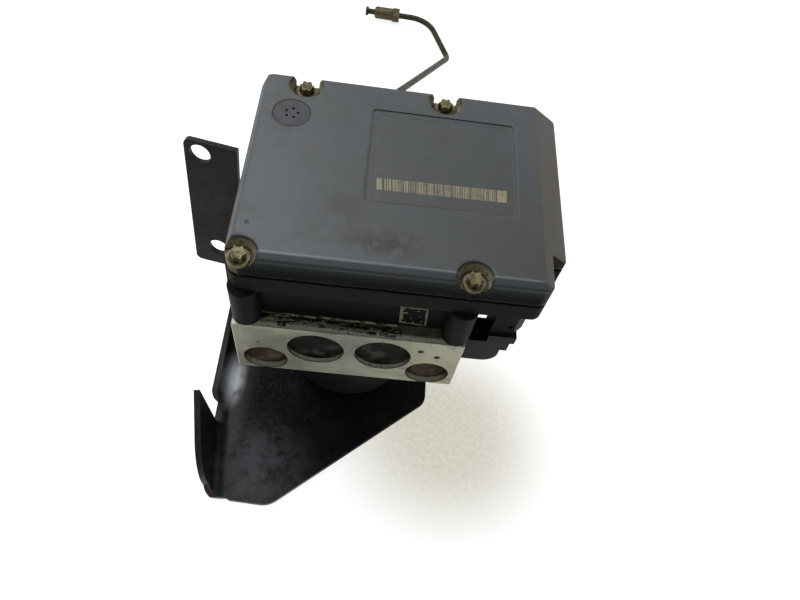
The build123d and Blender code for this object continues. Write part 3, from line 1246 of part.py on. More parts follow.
# moulded motor plug: elbow, stiff arm along the block's side, and foot in the motor can
arm_left = BLOCK_SIDE + LEAD_GAP
arm_top = BLOCK_TOP + LEAD_BOTTOM + LEAD_W + 2
elbow_bottom = BLOCK_TOP + LEAD_BOTTOM
rim_top = BLOCK_TOP + SHROUD_BOTTOM
with BuildPart() as motor_plug:
    with BuildSketch(Plane(origin=(0, LEAD_FRONT, 0), x_dir=(1, 0, 0), z_dir=(0, -1, 0))) as elbow:
        with BuildLine():
            Polyline(
                (arm_left, elbow_bottom),
                (ELBOW_RIGHT, elbow_bottom),
                (ELBOW_RIGHT, BLOCK_TOP + PLUG_BOTTOM),
                (PLUG_RIGHT, BLOCK_TOP + PLUG_BOTTOM),
                (PLUG_RIGHT, rim_top - PLUG_RIM_H),
                (PLUG_RIM_RIGHT, rim_top - PLUG_RIM_H),
                (PLUG_RIM_RIGHT, rim_top),
                (SHROUD_LEFT, rim_top),
                (SHROUD_LEFT, rim_top - PLUG_RIM_H),
                (arm_left + ELBOW_STEP, rim_top - PLUG_RIM_H),
                (arm_left + ELBOW_STEP, BLOCK_TOP + PLUG_BOTTOM),
                (arm_left, BLOCK_TOP + PLUG_BOTTOM),
                (arm_left, elbow_bottom),
            )
        make_face()
        fillet(elbow.vertices().sort_by_distance((ELBOW_RIGHT, elbow_bottom, 0))[0], LEAD_CURVE_R)
    extrude(amount=-LEAD_DEPTH)
    with BuildSketch(Plane.XY.offset(rim_top)):
        with BuildLine():
            Polyline(
                (SHROUD_LEFT + SHROUD_WALL + PLUG_GAP, SHROUD_FRONT + SHROUD_WALL + PLUG_GAP),
                (SHROUD_RIGHT - SHROUD_CORNER - SHROUD_WALL, SHROUD_FRONT + SHROUD_WALL + PLUG_GAP),
                (SHROUD_RIGHT - SHROUD_WALL - PLUG_GAP, SHROUD_FRONT + SHROUD_WALL + SHROUD_CORNER),
                (SHROUD_RIGHT - SHROUD_WALL - PLUG_GAP, LEAD_FRONT + LEAD_DEPTH),
                (SHROUD_LEFT + SHROUD_WALL + PLUG_GAP, LEAD_FRONT + LEAD_DEPTH),
                (SHROUD_LEFT + SHROUD_WALL + PLUG_GAP, SHROUD_FRONT + SHROUD_WALL + PLUG_GAP),
            )
        make_face()
    extrude(amount=PLUG_IN)
    # arm back along the block, down beside the motor and in through the can's wall
    with BuildSketch(Plane.YZ.offset(arm_left)):
        with BuildLine():
            Polyline(
                (LEAD_FRONT + LEAD_DEPTH, arm_top),
                (LEAD_Y + LEAD_W / 2, arm_top),
                (LEAD_Y + LEAD_W / 2, LEAD_Z),
                (LEAD_Y - LEAD_W / 2, LEAD_Z),
                (LEAD_Y - LEAD_W / 2, arm_top - LEAD_W),
                (LEAD_FRONT + LEAD_DEPTH, arm_top - LEAD_W),
                (LEAD_FRONT + LEAD_DEPTH, arm_top),
            )
        make_face()
    extrude(amount=LEAD_T)
    with BuildSketch(Plane.XY.offset(LEAD_Z)):
        with Locations(((LEAD_END + arm_left + LEAD_T) / 2, LEAD_Y)):
            Rectangle(arm_left + LEAD_T - LEAD_END, LEAD_W)
    extrude(amount=LEAD_T)
export(motor_plug.part, "motor_plug")

# =======================================================================================
# Brake pipe and its two tube nuts
# =======================================================================================
port_z = BLOCK_TOP - PORT_DOWN
pipe_start = Vector(PIPE_PORT_X, BLOCK_REAR - PIPE_IN, port_z)
pipe_points = (
    pipe_start,
    Vector(PIPE_PORT_X, BLOCK_REAR + PIPE_STUB, port_z),
    Vector(*PIPE_TURN),
    Vector(*PIPE_LAST_BEND),
    Vector(*PIPE_TIP),
)
tip_out = (pipe_points[4] - pipe_points[3]).normalized()
with BuildPart() as brake_pipe:
    with BuildLine() as pipe_path:
        FilletPolyline(*pipe_points, radius=PIPE_BENDS)
    with BuildSketch(Plane(origin=pipe_start, z_dir=(0, 1, 0))):
        Circle(PIPE_D / 2)
        Circle(PIPE_D / 2 - PIPE_WALL, mode=Mode.SUBTRACT)
    sweep(path=pipe_path.wires()[0])
    for end, along in ((pipe_start, Vector(0, 1, 0)), (pipe_points[4], -tip_out)):
        with BuildSketch(Plane(origin=end, z_dir=along)):
            Circle(FLARE_D / 2)
            Circle(PIPE_D / 2 - PIPE_WALL, mode=Mode.SUBTRACT)
        extrude(amount=FLARE_L)
export(brake_pipe.part, "brake_pipe")

block_nut = Plane(origin=pipe_start + Vector(0, FLARE_L, 0), x_dir=(1, 0, 0), z_dir=(0, 1, 0))
free_nut = Plane(origin=pipe_points[4] - tip_out * FREE_NUT_BACK, x_dir=(0, 0, 1), z_dir=-tip_out)
for nut_name, nose in (("pipe_nut_block", block_nut), ("pipe_nut_free", free_nut)):
    with BuildPart() as tube_nut:
        with BuildSketch(nose):
            Circle(NUT_THREAD_D / 2)
        extrude(amount=NUT_THREAD_L)
        chamfer(tube_nut.faces().sort_by_distance(nose.origin)[0].edges(), NUT_NOSE)
        with BuildSketch(nose.offset(NUT_THREAD_L)):
            RegularPolygon(NUT_AF / 2, 6, major_radius=False, rotation=NUT_TURN)
        extrude(amount=NUT_HEX_L)
        with BuildSketch(nose):
            Circle(PIPE_D / 2 + NUT_BORE_GAP)
        extrude(amount=NUT_THREAD_L + NUT_HEX_L, mode=Mode.SUBTRACT)
    export(tube_nut.part, nut_name)
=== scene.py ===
# %% [markdown]
# # Dressing an anti-lock brake module
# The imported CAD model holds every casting, shaft, spring and screw of the module in its true place,
# in metres, with Z up and the floor at Z = 0. This lesson keeps those solids and gives them the looks
# of a module that has spent years in an engine bay: grey moulded plastic, machined aluminium, black
# painted steel, and then the oil, dust and rust on top. Small things that CAD leaves out, a printed
# strip of bars, the remains of a sticker and a crust of grime, are modelled here with bmesh.

# %% Load the frame and measure it
import json
import math
import random

import bmesh
import bpy
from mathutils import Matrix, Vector, noise


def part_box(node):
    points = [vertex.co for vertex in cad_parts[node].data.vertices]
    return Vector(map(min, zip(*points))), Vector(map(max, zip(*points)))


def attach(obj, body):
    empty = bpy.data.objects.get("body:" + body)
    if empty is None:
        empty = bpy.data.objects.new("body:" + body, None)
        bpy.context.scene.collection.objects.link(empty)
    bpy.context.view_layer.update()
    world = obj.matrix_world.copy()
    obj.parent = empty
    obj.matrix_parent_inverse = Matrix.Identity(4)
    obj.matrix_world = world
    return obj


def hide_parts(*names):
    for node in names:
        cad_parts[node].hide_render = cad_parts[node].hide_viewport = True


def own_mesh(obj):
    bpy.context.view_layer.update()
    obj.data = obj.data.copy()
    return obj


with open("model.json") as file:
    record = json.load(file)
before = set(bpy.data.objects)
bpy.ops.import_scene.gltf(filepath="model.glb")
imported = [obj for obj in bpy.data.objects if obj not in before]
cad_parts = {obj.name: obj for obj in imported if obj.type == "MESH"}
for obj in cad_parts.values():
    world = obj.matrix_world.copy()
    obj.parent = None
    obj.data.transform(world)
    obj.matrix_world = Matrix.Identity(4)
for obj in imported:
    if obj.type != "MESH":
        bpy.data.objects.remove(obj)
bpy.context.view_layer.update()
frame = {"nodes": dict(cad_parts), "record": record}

MM = 0.001
EVEN = (1, 1, 1)      # a pattern that isn't stretched along any axis
nodes = frame["nodes"]
block_low, block_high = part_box("valve_block")
_, cover_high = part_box("controller_cover")

# %% [markdown]
# ## Camera
# The camera looks down on the module from in front, 38 cm above the floor. A lens is given as a focal
# length for a sensor 36 mm wide, and the turn as three angles. The small shift moves the view sideways
# and up without tilting the camera, which keeps upright edges as they are.

# %% Place the camera
CAMERA_AT = (1.56, -198.62, 384.34)       # mm
CAMERA_TURN = (30.4036, -6.6227, 2.9342)  # degrees about X, Y and Z
CAMERA_LENS = 29.94                       # mm
CAMERA_SENSOR = 36.0                      # mm wide
CAMERA_SHIFT = (-0.0049, 0.0235)          # shares of the view's width

camera_data = bpy.data.cameras.new("camera")
camera_data.lens = CAMERA_LENS
camera_data.sensor_width = CAMERA_SENSOR
camera_data.shift_x, camera_data.shift_y = CAMERA_SHIFT
camera_data.clip_start = 0.01
camera = bpy.data.objects.new("camera", camera_data)
camera.location = [v * MM for v in CAMERA_AT]
camera.rotation_euler = [math.radians(v) for v in CAMERA_TURN]
bpy.context.scene.collection.objects.link(camera)
bpy.context.scene.camera = camera
print("camera at", CAMERA_AT)

# %% [markdown]
# ## Floor and light
# The module stands on a white floor under one large soft lamp, with a wide pale sky round it. The
# lamp hangs behind and to the left, so flat tops get a soft sheen and the walls towards the viewer
# stay darker. The floor gives back ordinary light to the object, and is lifted to white only where the
# camera, a mirror-like surface or glass looks at it, so that the soft shadow stays. A faint grey patch
# of painted shade, mottled like a grain of the floor, lies on it at the module's right under the
# controller's overhang.

# %% Tell direct looks from carried light
def seen_directly(tree):
    """1 for rays of the camera, of gloss and of glass, and 0 for rays that carry light about."""
    path = tree.nodes.new("ShaderNodeLightPath")
    first = tree.nodes.new("ShaderNodeMath")
    first.operation = "MAXIMUM"
    tree.links.new(path.outputs["Is Camera Ray"], first.inputs[0])
    tree.links.new(path.outputs["Is Glossy Ray"], first.inputs[1])
    second = tree.nodes.new("ShaderNodeMath")
    second.operation = "MAXIMUM"
    tree.links.new(first.outputs[0], second.inputs[0])
    tree.links.new(path.outputs["Is Transmission Ray"], second.inputs[1])
    return second.outputs[0]


print("three kinds of ray count as a direct look")

# %% Finish of the floor
FLOOR_WHITE = 0.82                  # how much light the floor gives back
FLOOR_LIFT = 0.84                   # its own glow where it is seen directly
SHADE_PATCH_AT = (0.064, -0.048, 0)       # m
SHADE_PATCH_CORE, SHADE_PATCH_RIM = 0.02, 0.08  # m from the patch's middle
SHADE_PATCH_COLOUR = (0.5, 0.47, 0.33, 1)
SHADE_PATCH_GRAIN = 420                   # noise blobs per metre
SHADE_PATCH_LEAST = 0.45                  # how strong the painted shade is between its blobs


def white_floor():
    """A diffuse white, lifted where it is seen directly, with a faint mottled patch of painted shade beside
    the object.
    """
    material = bpy.data.materials.new("floor_white")
    material.use_nodes = True
    tree = material.node_tree
    tree.nodes.clear()
    diffuse = tree.nodes.new("ShaderNodeBsdfDiffuse")
    diffuse.inputs["Color"].default_value = (FLOOR_WHITE,) * 3 + (1,)
    place = tree.nodes.new("ShaderNodeTexCoord")
    # the patch of painted shade: towards its middle the glow turns grey, broken up by noise
    far = tree.nodes.new("ShaderNodeVectorMath")
    far.operation = "DISTANCE"
    far.inputs[1].default_value = SHADE_PATCH_AT
    tree.links.new(place.outputs["Object"], far.inputs[0])
    near = tree.nodes.new("ShaderNodeMapRange")
    near.interpolation_type = "SMOOTHSTEP"
    near.inputs["From Min"].default_value = SHADE_PATCH_RIM
    near.inputs["From Max"].default_value = SHADE_PATCH_CORE
    tree.links.new(far.outputs["Value"], near.inputs["Value"])
    mottle = tree.nodes.new("ShaderNodeTexNoise")
    mottle.inputs["Scale"].default_value = SHADE_PATCH_GRAIN
    mottle.inputs["Detail"].default_value = 5
    tree.links.new(place.outputs["Object"], mottle.inputs["Vector"])
    calm = tree.nodes.new("ShaderNodeMapRange")
    calm.inputs["To Min"].default_value = SHADE_PATCH_LEAST
    tree.links.new(mottle.outputs[0], calm.inputs["Value"])
    amount = tree.nodes.new("ShaderNodeMath")
    amount.operation = "MULTIPLY"
    tree.links.new(near.outputs["Result"], amount.inputs[0])
    tree.links.new(calm.outputs["Result"], amount.inputs[1])
    tint = tree.nodes.new("ShaderNodeMix")
    tint.data_type = "RGBA"
    tint.inputs[6].default_value = (1, 1, 1, 1)
    tint.inputs[7].default_value = SHADE_PATCH_COLOUR
    tree.links.new(amount.outputs[0], tint.inputs[0])
    lift = tree.nodes.new("ShaderNodeEmission")
    tree.links.new(tint.outputs[2], lift.inputs["Color"])
    strength = tree.nodes.new("ShaderNodeMath")
    strength.operation = "MULTIPLY"
    strength.inputs[1].default_value = FLOOR_LIFT
    tree.links.new(seen_directly(tree), strength.inputs[0])
    tree.links.new(strength.outputs[0], lift.inputs["Strength"])
    both = tree.nodes.new("ShaderNodeAddShader")
    tree.links.new(diffuse.outputs[0], both.inputs[0])
    tree.links.new(lift.outputs[0], both.inputs[1])
    out = tree.nodes.new("ShaderNodeOutputMaterial")
    tree.links.new(both.outputs[0], out.inputs["Surface"])
    return material


floor_finish = white_floor()
print("floor finish:", len(floor_finish.node_tree.nodes), "nodes")

# %% Pale sky
SKY_LEVEL = 0.17


def pale_sky():
    """A world that is white to look at and lights the object at a lower level."""
    world = bpy.data.worlds.new("sky")
    world.use_nodes = True
    tree = world.node_tree
    back = tree.nodes["Background"]
    level = tree.nodes.new("ShaderNodeMix")
    level.inputs[2].default_value = SKY_LEVEL
    level.inputs[3].default_value = 1.0
    tree.links.new(seen_directly(tree), level.inputs[0])
    tree.links.new(level.outputs[0], back.inputs["Strength"])
    back.inputs["Color"].default_value = (1, 1, 1, 1)
    bpy.context.scene.world = world


pale_sky()
print("the sky lights the object at", SKY_LEVEL)

# %% Place the floor and the lamp
FLOOR_SIZE = 8.0                         # m
LAMP_AT = Vector((-0.42, 0.55, 1.25))    # m
LAMP_SIZE = 0.9                          # m
LAMP_POWER = 8.0                         # W

floor_mesh = bpy.data.meshes.new("floor")
floor_bm = bmesh.new()
bmesh.ops.create_grid(floor_bm, x_segments=1, y_segments=1, size=FLOOR_SIZE / 2)
floor_bm.to_mesh(floor_mesh)
floor_bm.free()
floor = bpy.data.objects.new("floor", floor_mesh)
floor.data.materials.append(floor_finish)
bpy.context.scene.collection.objects.link(floor)

lamp_data = bpy.data.lights.new("soft_lamp", "AREA")
lamp_data.size = LAMP_SIZE
lamp_data.energy = LAMP_POWER
lamp = bpy.data.objects.new("soft_lamp", lamp_data)
lamp.location = LAMP_AT
lamp.rotation_euler = (-LAMP_AT).to_track_quat("-Z", "Y").to_euler()
bpy.context.scene.collection.objects.link(lamp)
bpy.context.scene.view_settings.view_transform = "Standard"
print("floor", FLOOR_SIZE, "m wide, one lamp of", LAMP_POWER, "W")

# %% [markdown]
# ## A small kit for layered finishes
# A real surface is a stack: bare material, then paint, then dirt and scratches. Finish builds that
# stack as shader nodes. Each coat covers what is under it where its mask is white, and masks come from
# noise, from places measured in mm, from the way a face points, from sharp edges and from crevices.
# Everything reads Object coordinates, so a pattern stays on its piece when the piece moves. Gloss is
# how much a surface mirrors, and rounded lets light roll over an edge as if it had that radius.

# %% Colours from the usual 0 to 255 numbers
def shade(red, green, blue):
    """A colour as shaders want it, from the numbers that a colour picker shows."""
    linear = []
    for value in (red, green, blue):
        v = value / 255
        linear.append(v / 12.92 if v <= 0.04045 else ((v + 0.055) / 1.055) ** 2.4)
    return (*linear, 1.0)


print("mid grey is", [round(v, 3) for v in shade(128, 128, 128)])

# %% The Finish kit
class Finish:
    """One material, built up in coats from the bare surface outwards."""

    def __init__(self, name, colour, rough, metal=0.0, gloss=0.5, rounded=0.0):
        self.material = bpy.data.materials.new(name)
        self.material.use_nodes = True
        self.tree = self.material.node_tree
        self.shader = self.tree.nodes["Principled BSDF"]
        place = self.tree.nodes.new("ShaderNodeTexCoord")
        self.spot = place.outputs["Object"]
        self.facing = place.outputs["Normal"]
        self.colour, self.rough, self.metal = colour, rough, metal
        self.height = None
        self.gloss, self.rounded = gloss, rounded

    def node(self, kind, **settings):
        """A new shader node with its settings."""
        made = self.tree.nodes.new(kind)
        for key, value in settings.items():
            setattr(made, key, value)
        return made

    def feed(self, socket, value):
        """Give a socket another node's output, or a plain number or colour."""
        if isinstance(value, bpy.types.NodeSocket):
            self.tree.links.new(value, socket)
        else:
            socket.default_value = value

    def maths(self, operation, first, second=0.0):
        """Two masks or numbers put together by a Math node."""
        made = self.node("ShaderNodeMath", operation=operation, use_clamp=operation in ("ADD", "SUBTRACT"))
        self.feed(made.inputs[0], first)
        self.feed(made.inputs[1], second)
        return made.outputs[0]

    def both(self, *masks):
        """Where all of these masks are white."""
        result = masks[0]
        for mask in masks[1:]:
            result = self.maths("MULTIPLY", result, mask)
        return result

    def between(self, value, low, high, top=1.0):
        """0 at low, top at high, smooth in between; low may be the larger one."""
        made = self.node("ShaderNodeMapRange", interpolation_type="SMOOTHSTEP")
        self.feed(made.inputs["Value"], value)
        made.inputs["From Min"].default_value = low
        made.inputs["From Max"].default_value = high
        made.inputs["To Max"].default_value = top
        return made.outputs["Result"]

    def stretched(self, stretch, seed):
        """The place on the piece, stretched along the axes and moved so that no two patterns match."""
        made = self.node("ShaderNodeMapping")
        self.feed(made.inputs["Vector"], self.spot)
        made.inputs["Location"].default_value = (seed, 0.7 * seed, -1.3 * seed)
        made.inputs["Scale"].default_value = [1 / s for s in stretch]
        return made.outputs["Vector"]

    def cloud(self, size, detail=5.0, stretch=EVEN, seed=0.0):
        """Soft noise from 0 to 1, with blobs about that many mm wide."""
        made = self.node("ShaderNodeTexNoise")
        self.feed(made.inputs["Vector"], self.stretched(stretch, seed))
        made.inputs["Scale"].default_value = 1 / (size * MM)
        made.inputs["Detail"].default_value = detail
        made.inputs["Roughness"].default_value = 0.6
        return made.outputs[0]

    def patches(self, size, detail, low, high, top=1.0, stretch=EVEN, seed=0.0):
        """A cloud cut into patches: 0 where it is below low, top where it is above high."""
        return self.between(self.cloud(size, detail, stretch, seed), low, high, top)

    def specks(self, spacing, size, seed=0.0):
        """Small dots, one in each cell of that many mm, with ragged edges."""
        made = self.node("ShaderNodeTexVoronoi")
        self.feed(made.inputs["Vector"], self.stretched(EVEN, seed))
        made.inputs["Scale"].default_value = 1 / (spacing * MM)
        ragged = self.maths("MULTIPLY", self.cloud(size, 2.0, seed=seed + 1), 2 * size / spacing)
        return self.between(self.maths("SUBTRACT", ragged, made.outputs["Distance"]), 0.0, 0.15)

    def ball(self, centre, inner, outer, squeeze=EVEN):
        """1 within inner mm of a place, 0 beyond outer mm; squeeze flattens it."""
        moved = self.node("ShaderNodeVectorMath", operation="SUBTRACT")
        self.feed(moved.inputs[0], self.spot)
        moved.inputs[1].default_value = [c * MM for c in centre]
        scaled = self.node("ShaderNodeVectorMath", operation="DIVIDE")
        self.feed(scaled.inputs[0], moved.outputs[0])
        scaled.inputs[1].default_value = [s * MM for s in squeeze]
        far = self.node("ShaderNodeVectorMath", operation="LENGTH")
        self.feed(far.inputs[0], scaled.outputs[0])
        return self.between(far.outputs["Value"], outer, inner)

    def part_of(self, vector, axis):
        """One of the three numbers of a vector, named by its axis."""
        made = self.node("ShaderNodeSeparateXYZ")
        self.feed(made.inputs[0], vector)
        return made.outputs["XYZ".index(axis)]

    def beyond(self, axis, low, high):
        """0 up to low mm along an axis and 1 from high mm on, or the other way about."""
        return self.between(self.part_of(self.spot, axis), low * MM, high * MM)

    def faces(self, axis, low=0.5, high=0.9):
        """1 on faces that point along +axis; give negative levels for -axis."""
        return self.between(self.part_of(self.facing, axis), low, high)

    def edges(self, width):
        """1 along sharp outer edges, about that many mm wide."""
        bent = self.node("ShaderNodeBevel", samples=4)
        bent.inputs["Radius"].default_value = width * MM
        flat = self.node("ShaderNodeNewGeometry")
        dot = self.node("ShaderNodeVectorMath", operation="DOT_PRODUCT")
        self.feed(dot.inputs[0], bent.outputs["Normal"])
        self.feed(dot.inputs[1], flat.outputs["Normal"])
        return self.between(dot.outputs["Value"], 0.99, 0.86)

    def crevices(self, reach, full=0.35, none=0.85):
        """1 deep in corners and joints, where little light reaches; a coat laid with it is painted shade as
        well as grime.
        """
        made = self.node("ShaderNodeAmbientOcclusion", samples=4)
        made.inputs["Distance"].default_value = reach * MM
        return self.between(made.outputs["AO"], none, full)

    def mixed(self, mask, under, over, kind):
        """One colour or number laid over another by a mask; Mix has sockets for each kind."""
        made = self.node("ShaderNodeMix", data_type=kind)
        first, result = (6, 2) if kind == "RGBA" else (2, 0)
        self.feed(made.inputs[0], mask)
        self.feed(made.inputs[first], under)
        self.feed(made.inputs[first + 1], over)
        return made.outputs[result]

    def coat(self, mask, colour=None, rough=None, metal=None, gloss=None):
        """Cover what is there with a new colour, roughness, metalness or gloss where the mask is white."""
        if colour is not None:
            self.colour = self.mixed(mask, self.colour, colour, "RGBA")
        if rough is not None:
            self.rough = self.mixed(mask, self.rough, rough, "FLOAT")
        if metal is not None:
            self.metal = self.mixed(mask, self.metal, metal, "FLOAT")
        if gloss is not None:
            self.gloss = self.mixed(mask, self.gloss, gloss, "FLOAT")

    def relief(self, pattern, depth):
        """Let a pattern stand that many mm proud of the surface."""
        made = self.node("ShaderNodeMath", operation="MULTIPLY")
        self.feed(made.inputs[0], pattern)
        made.inputs[1].default_value = depth * MM
        if self.height is None:
            self.height = made.outputs[0]
            return
        total = self.node("ShaderNodeMath", operation="ADD")
        self.feed(total.inputs[0], self.height)
        self.feed(total.inputs[1], made.outputs[0])
        self.height = total.outputs[0]

    def done(self):
        """Wire the stack into the shader and return the material."""
        self.feed(self.shader.inputs["Base Color"], self.colour)
        self.feed(self.shader.inputs["Roughness"], self.rough)
        self.feed(self.shader.inputs["Metallic"], self.metal)
        self.feed(self.shader.inputs["Specular IOR Level"], self.gloss)
        bump = self.node("ShaderNodeBump")
        bump.inputs["Distance"].default_value = 1.0
        self.feed(bump.inputs["Height"], self.height)
        if self.rounded:
            soft = self.node("ShaderNodeBevel", samples=6)
            soft.inputs["Radius"].default_value = self.rounded * MM
            self.feed(bump.inputs["Normal"], soft.outputs["Normal"])
        self.feed(self.shader.inputs["Normal"], bump.outputs["Normal"])
        return self.material


finishes = {}


def keep(slot, material):
    """File a finish under the slot it is for, and tell how many nodes it took."""
    finishes[slot] = material
    print(slot + ":", len(material.node_tree.nodes), "nodes")


print("the Finish kit is ready")

# %% [markdown]
# ## Moulded plastic of the controller
# The cover is a grey blue plastic with a fine spark-eroded grain, which is what keeps its sheen soft.
# Its walls carry painted shade, darker than the top and darker still down towards the seam, with some grime
# on them, and the screw pockets hold dried dust.
# The housing below is the same kind of plastic, nearly black, with dust on its upper faces, painted shade
# in its corners and a painted highlight along its front rim.

# %% Finish of the controller's cover
LID_TOP = cover_high.z / MM
SCREW_PLACES = ((-46.3, -48.2), (47.8, -48.2), (-31.5, 49.4), (33.8, 49.4))


def cover_plastic():
    f = Finish("cover_plastic", shade(79, 85, 90), 0.4, gloss=0.45, rounded=2.0)
    f.coat(f.patches(60, 3, 0.42, 0.62, 0.7, seed=2), shade(68, 73, 75))
    f.coat(f.patches(9, 6, 0.5, 0.72, 0.4, seed=5), shade(94, 100, 104), rough=0.46)
    f.coat(f.patches(15, 6, 0.5, 0.68, 0.5, seed=6), shade(66, 70, 70), rough=0.48)
    # painted shade: the top darker towards the right and the front
    shade_to_right_front = f.beyond("X", 10, 80)
    f.coat(f.both(shade_to_right_front, f.beyond("Y", 30, -50)), shade(67, 69, 69), rough=0.36)
    # painted shade on the walls, darker than the top, and deeper painted shade low down towards the seam
    walls = f.faces("Z", 0.75, 0.3)
    f.coat(walls, shade(58, 64, 66), rough=0.6, gloss=0.08)
    low_walls = f.both(walls, f.beyond("Z", LID_TOP - 2, LID_TOP - 9))
    f.coat(low_walls, shade(26, 30, 30), rough=0.75, gloss=0.06)
    f.coat(f.both(walls, f.patches(7, 6, 0.52, 0.72, 0.5, stretch=(3, 1, 1), seed=8)), shade(42, 40, 34))
    # brown smudges where an oily hand or a drip has dried
    smudge = f.ball((11, -36.5, LID_TOP), 0, 17, (1.5, 0.62, 1))
    f.coat(f.both(smudge, f.patches(6, 6, 0.38, 0.52, 0.95, seed=11)), shade(50, 47, 41), rough=0.6)
    dusk = f.ball((-8, -20, LID_TOP), 0, 22, (0.7, 1.2, 1))
    f.coat(f.both(dusk, f.patches(11, 5, 0.4, 0.58, 0.8, seed=13)), shade(54, 57, 57), rough=0.5)
    f.coat(f.patches(26, 6, 0.58, 0.74, 0.5, seed=17), shade(62, 60, 54))
    # rust-coloured stains down the right slope
    right = f.beyond("X", 76, 78)
    f.coat(f.both(right, f.patches(22, 5, 0.2, 0.5, 0.85, seed=19)), shade(66, 62, 52), rough=0.5)
    f.coat(f.both(right, f.patches(5, 6, 0.5, 0.66, 0.85, stretch=(1, 1.8, 1), seed=23)), shade(84, 64, 42))
    rear = f.beyond("Y", 30, 52)
    f.coat(f.both(rear, f.beyond("X", 30, 70), f.patches(8, 6, 0.52, 0.7, 0.6, seed=29)), shade(84, 71, 54))
    # dried dust in the four screw pockets and the breather's seat
    for x, y in SCREW_PLACES:
        inner = (-50.93, -50.8) if y < 0 else (55.6, 55.0)
        bowl = f.both(f.ball((x, y, LID_TOP - 4), 6.5, 9.5), f.beyond("Z", LID_TOP - 0.2, LID_TOP - 1.5),
                      f.beyond("Y", *inner))
        f.coat(f.both(bowl, f.patches(2.4, 5, 0.1, 0.45, seed=x)), shade(178, 168, 132), rough=0.9)
        f.coat(f.both(bowl, f.patches(1.7, 4, 0.55, 0.66, seed=y)), shade(108, 98, 70), rough=0.8)
        halo = f.ball((x, y, LID_TOP), 7.5, 12)
        f.coat(f.both(halo, f.patches(3, 6, 0.52, 0.7, 0.6, seed=x + y)), shade(70, 64, 50), rough=0.6)
    f.coat(f.both(f.ball((-42.3, 32.1, LID_TOP), 1.5, 5), f.patches(2, 5, 0.42, 0.6, 0.8, seed=31)),
           shade(150, 140, 112), rough=0.8)
    # the printed patch is a touch darker and smoother
    patch = f.both(f.beyond("Z", LID_TOP - 0.3, LID_TOP - 0.4), f.faces("Z", 0.8, 0.95),
                   f.beyond("X", -0.5, 0.5), f.beyond("X", 66.5, 65.5),
                   f.beyond("Y", -16, -15), f.beyond("Y", 40, 39))
    f.coat(f.both(patch, f.patches(9, 4, 0.2, 0.8, 0.85, seed=37)), shade(66, 70, 71), rough=0.36)
    # fine specks, pits and scratches, and pale edges that are rubbed and carry a painted highlight
    f.coat(f.specks(7.5, 0.7, seed=41), shade(44, 43, 38))
    f.coat(f.specks(11, 0.7, seed=43), shade(116, 114, 104))
    scratch = f.patches(1.4, 2, 0.7, 0.76, stretch=(60, 1, 1), seed=47)
    f.coat(f.both(scratch, f.patches(30, 2, 0.5, 0.6, 0.6, seed=48)), shade(96, 100, 102))
    pit = f.ball((-45, -33.3, LID_TOP), 0.35, 1.0)
    f.coat(pit, shade(35, 33, 30))
    # pale edges: rubbed plastic with a painted highlight along them
    f.coat(f.both(f.edges(0.9), f.patches(7, 4, 0.3, 0.6, 0.6, seed=53)), shade(110, 116, 119), rough=0.34)
    # the lid's front edge rolls over: a painted highlight line along it, then painted shade darker down to
    # the wall
    roll = f.both(f.beyond("Y", -46.6, -48.2), f.beyond("Z", LID_TOP - 3, LID_TOP - 2))
    f.coat(roll, shade(62, 67, 70), rough=0.5, gloss=0.2)
    line = f.both(f.beyond("Y", -45.9, -46.3), f.beyond("Y", -47.4, -46.8), f.beyond("X", 78, 72))
    gleam = f.both(line, f.patches(20, 3, 0.2, 0.5, 0.8, stretch=(2, 1, 1), seed=54))
    f.coat(gleam, shade(122, 129, 133), rough=0.36)
    # painted shade in the corners and joints, in a grime colour
    f.coat(f.crevices(3, 0.4, 0.8), shade(26, 25, 21), rough=0.75)
    grain = f.cloud(0.55, 2, seed=59)
    f.coat(f.between(grain, 0.45, 0.75, 0.14), shade(112, 118, 122))
    f.relief(grain, 0.05)
    f.relief(f.cloud(3.5, 3, seed=61), 0.08)
    f.relief(pit, -0.5)
    return f.done()


keep("cover_plastic", cover_plastic())

# %% Finish of the controller's housing
def housing_plastic():
    f = Finish("housing_plastic", shade(21, 24, 25), 0.5, gloss=0.05, rounded=1.0)
    f.coat(f.patches(14, 5, 0.45, 0.7, 0.6, seed=3), shade(23, 26, 27))
    f.coat(f.patches(5, 6, 0.54, 0.72, 0.5, stretch=(1, 1, 2.5), seed=6), shade(32, 30, 24), rough=0.7)
    upward = f.faces("Z", 0.5, 0.9)
    f.coat(f.both(upward, f.patches(3, 5, 0.45, 0.7, 0.4, seed=9)), shade(44, 41, 32), rough=0.85)
    f.coat(f.beyond("X", 60, 64), shade(20, 17, 13))
    f.coat(f.specks(6, 0.6, seed=12), shade(84, 80, 66))
    f.coat(f.both(f.edges(0.5), f.patches(4, 4, 0.42, 0.66, 0.7, seed=15)), shade(64, 66, 64))
    # painted shade in the corners and joints, nearly black
    f.coat(f.crevices(6, 0.35, 0.8), shade(13, 13, 11), rough=0.8)
    # a painted highlight, broken up in patches, along the housing's front rim
    rim = f.both(f.beyond("Z", 146, 148), f.beyond("Z", 156.5, 155.5), f.beyond("Y", -44, -50))
    rim_highlight = f.both(rim, f.patches(10, 4, 0.1, 0.5, 0.9, stretch=(3, 1, 1), seed=10))
    f.coat(rim_highlight, shade(50, 52, 48), rough=0.7)
    grain = f.cloud(0.7, 2, seed=18)
    f.relief(grain, 0.05)
    f.relief(f.cloud(2.6, 4, seed=21), 0.08)
    return f.done()


keep("housing_plastic", housing_plastic())

# %% [markdown]
# ## Machined aluminium of the valve block
# The block is sawn from an extruded bar and faced with a cutter, so its faces carry fine straight
# lines. The metal has a dull greenish grey oxide, with stains round the bores, and thick oily grime
# where the housing's skirt leaves a narrow strip of its top.

# %% Finish of the valve block
BLOCK_TOP = block_high.z / MM
BLOCK_FRONT = block_low.y / MM
BORES = (
    # mm from the middle, mm below the top, how far the stain round it reaches in mm
    (-15.1, 15.9, 15.0), (16.2, 15.9, 15.0), (-38.8, 29.3, 12.5), (39.0, 29.3, 12.5),
)


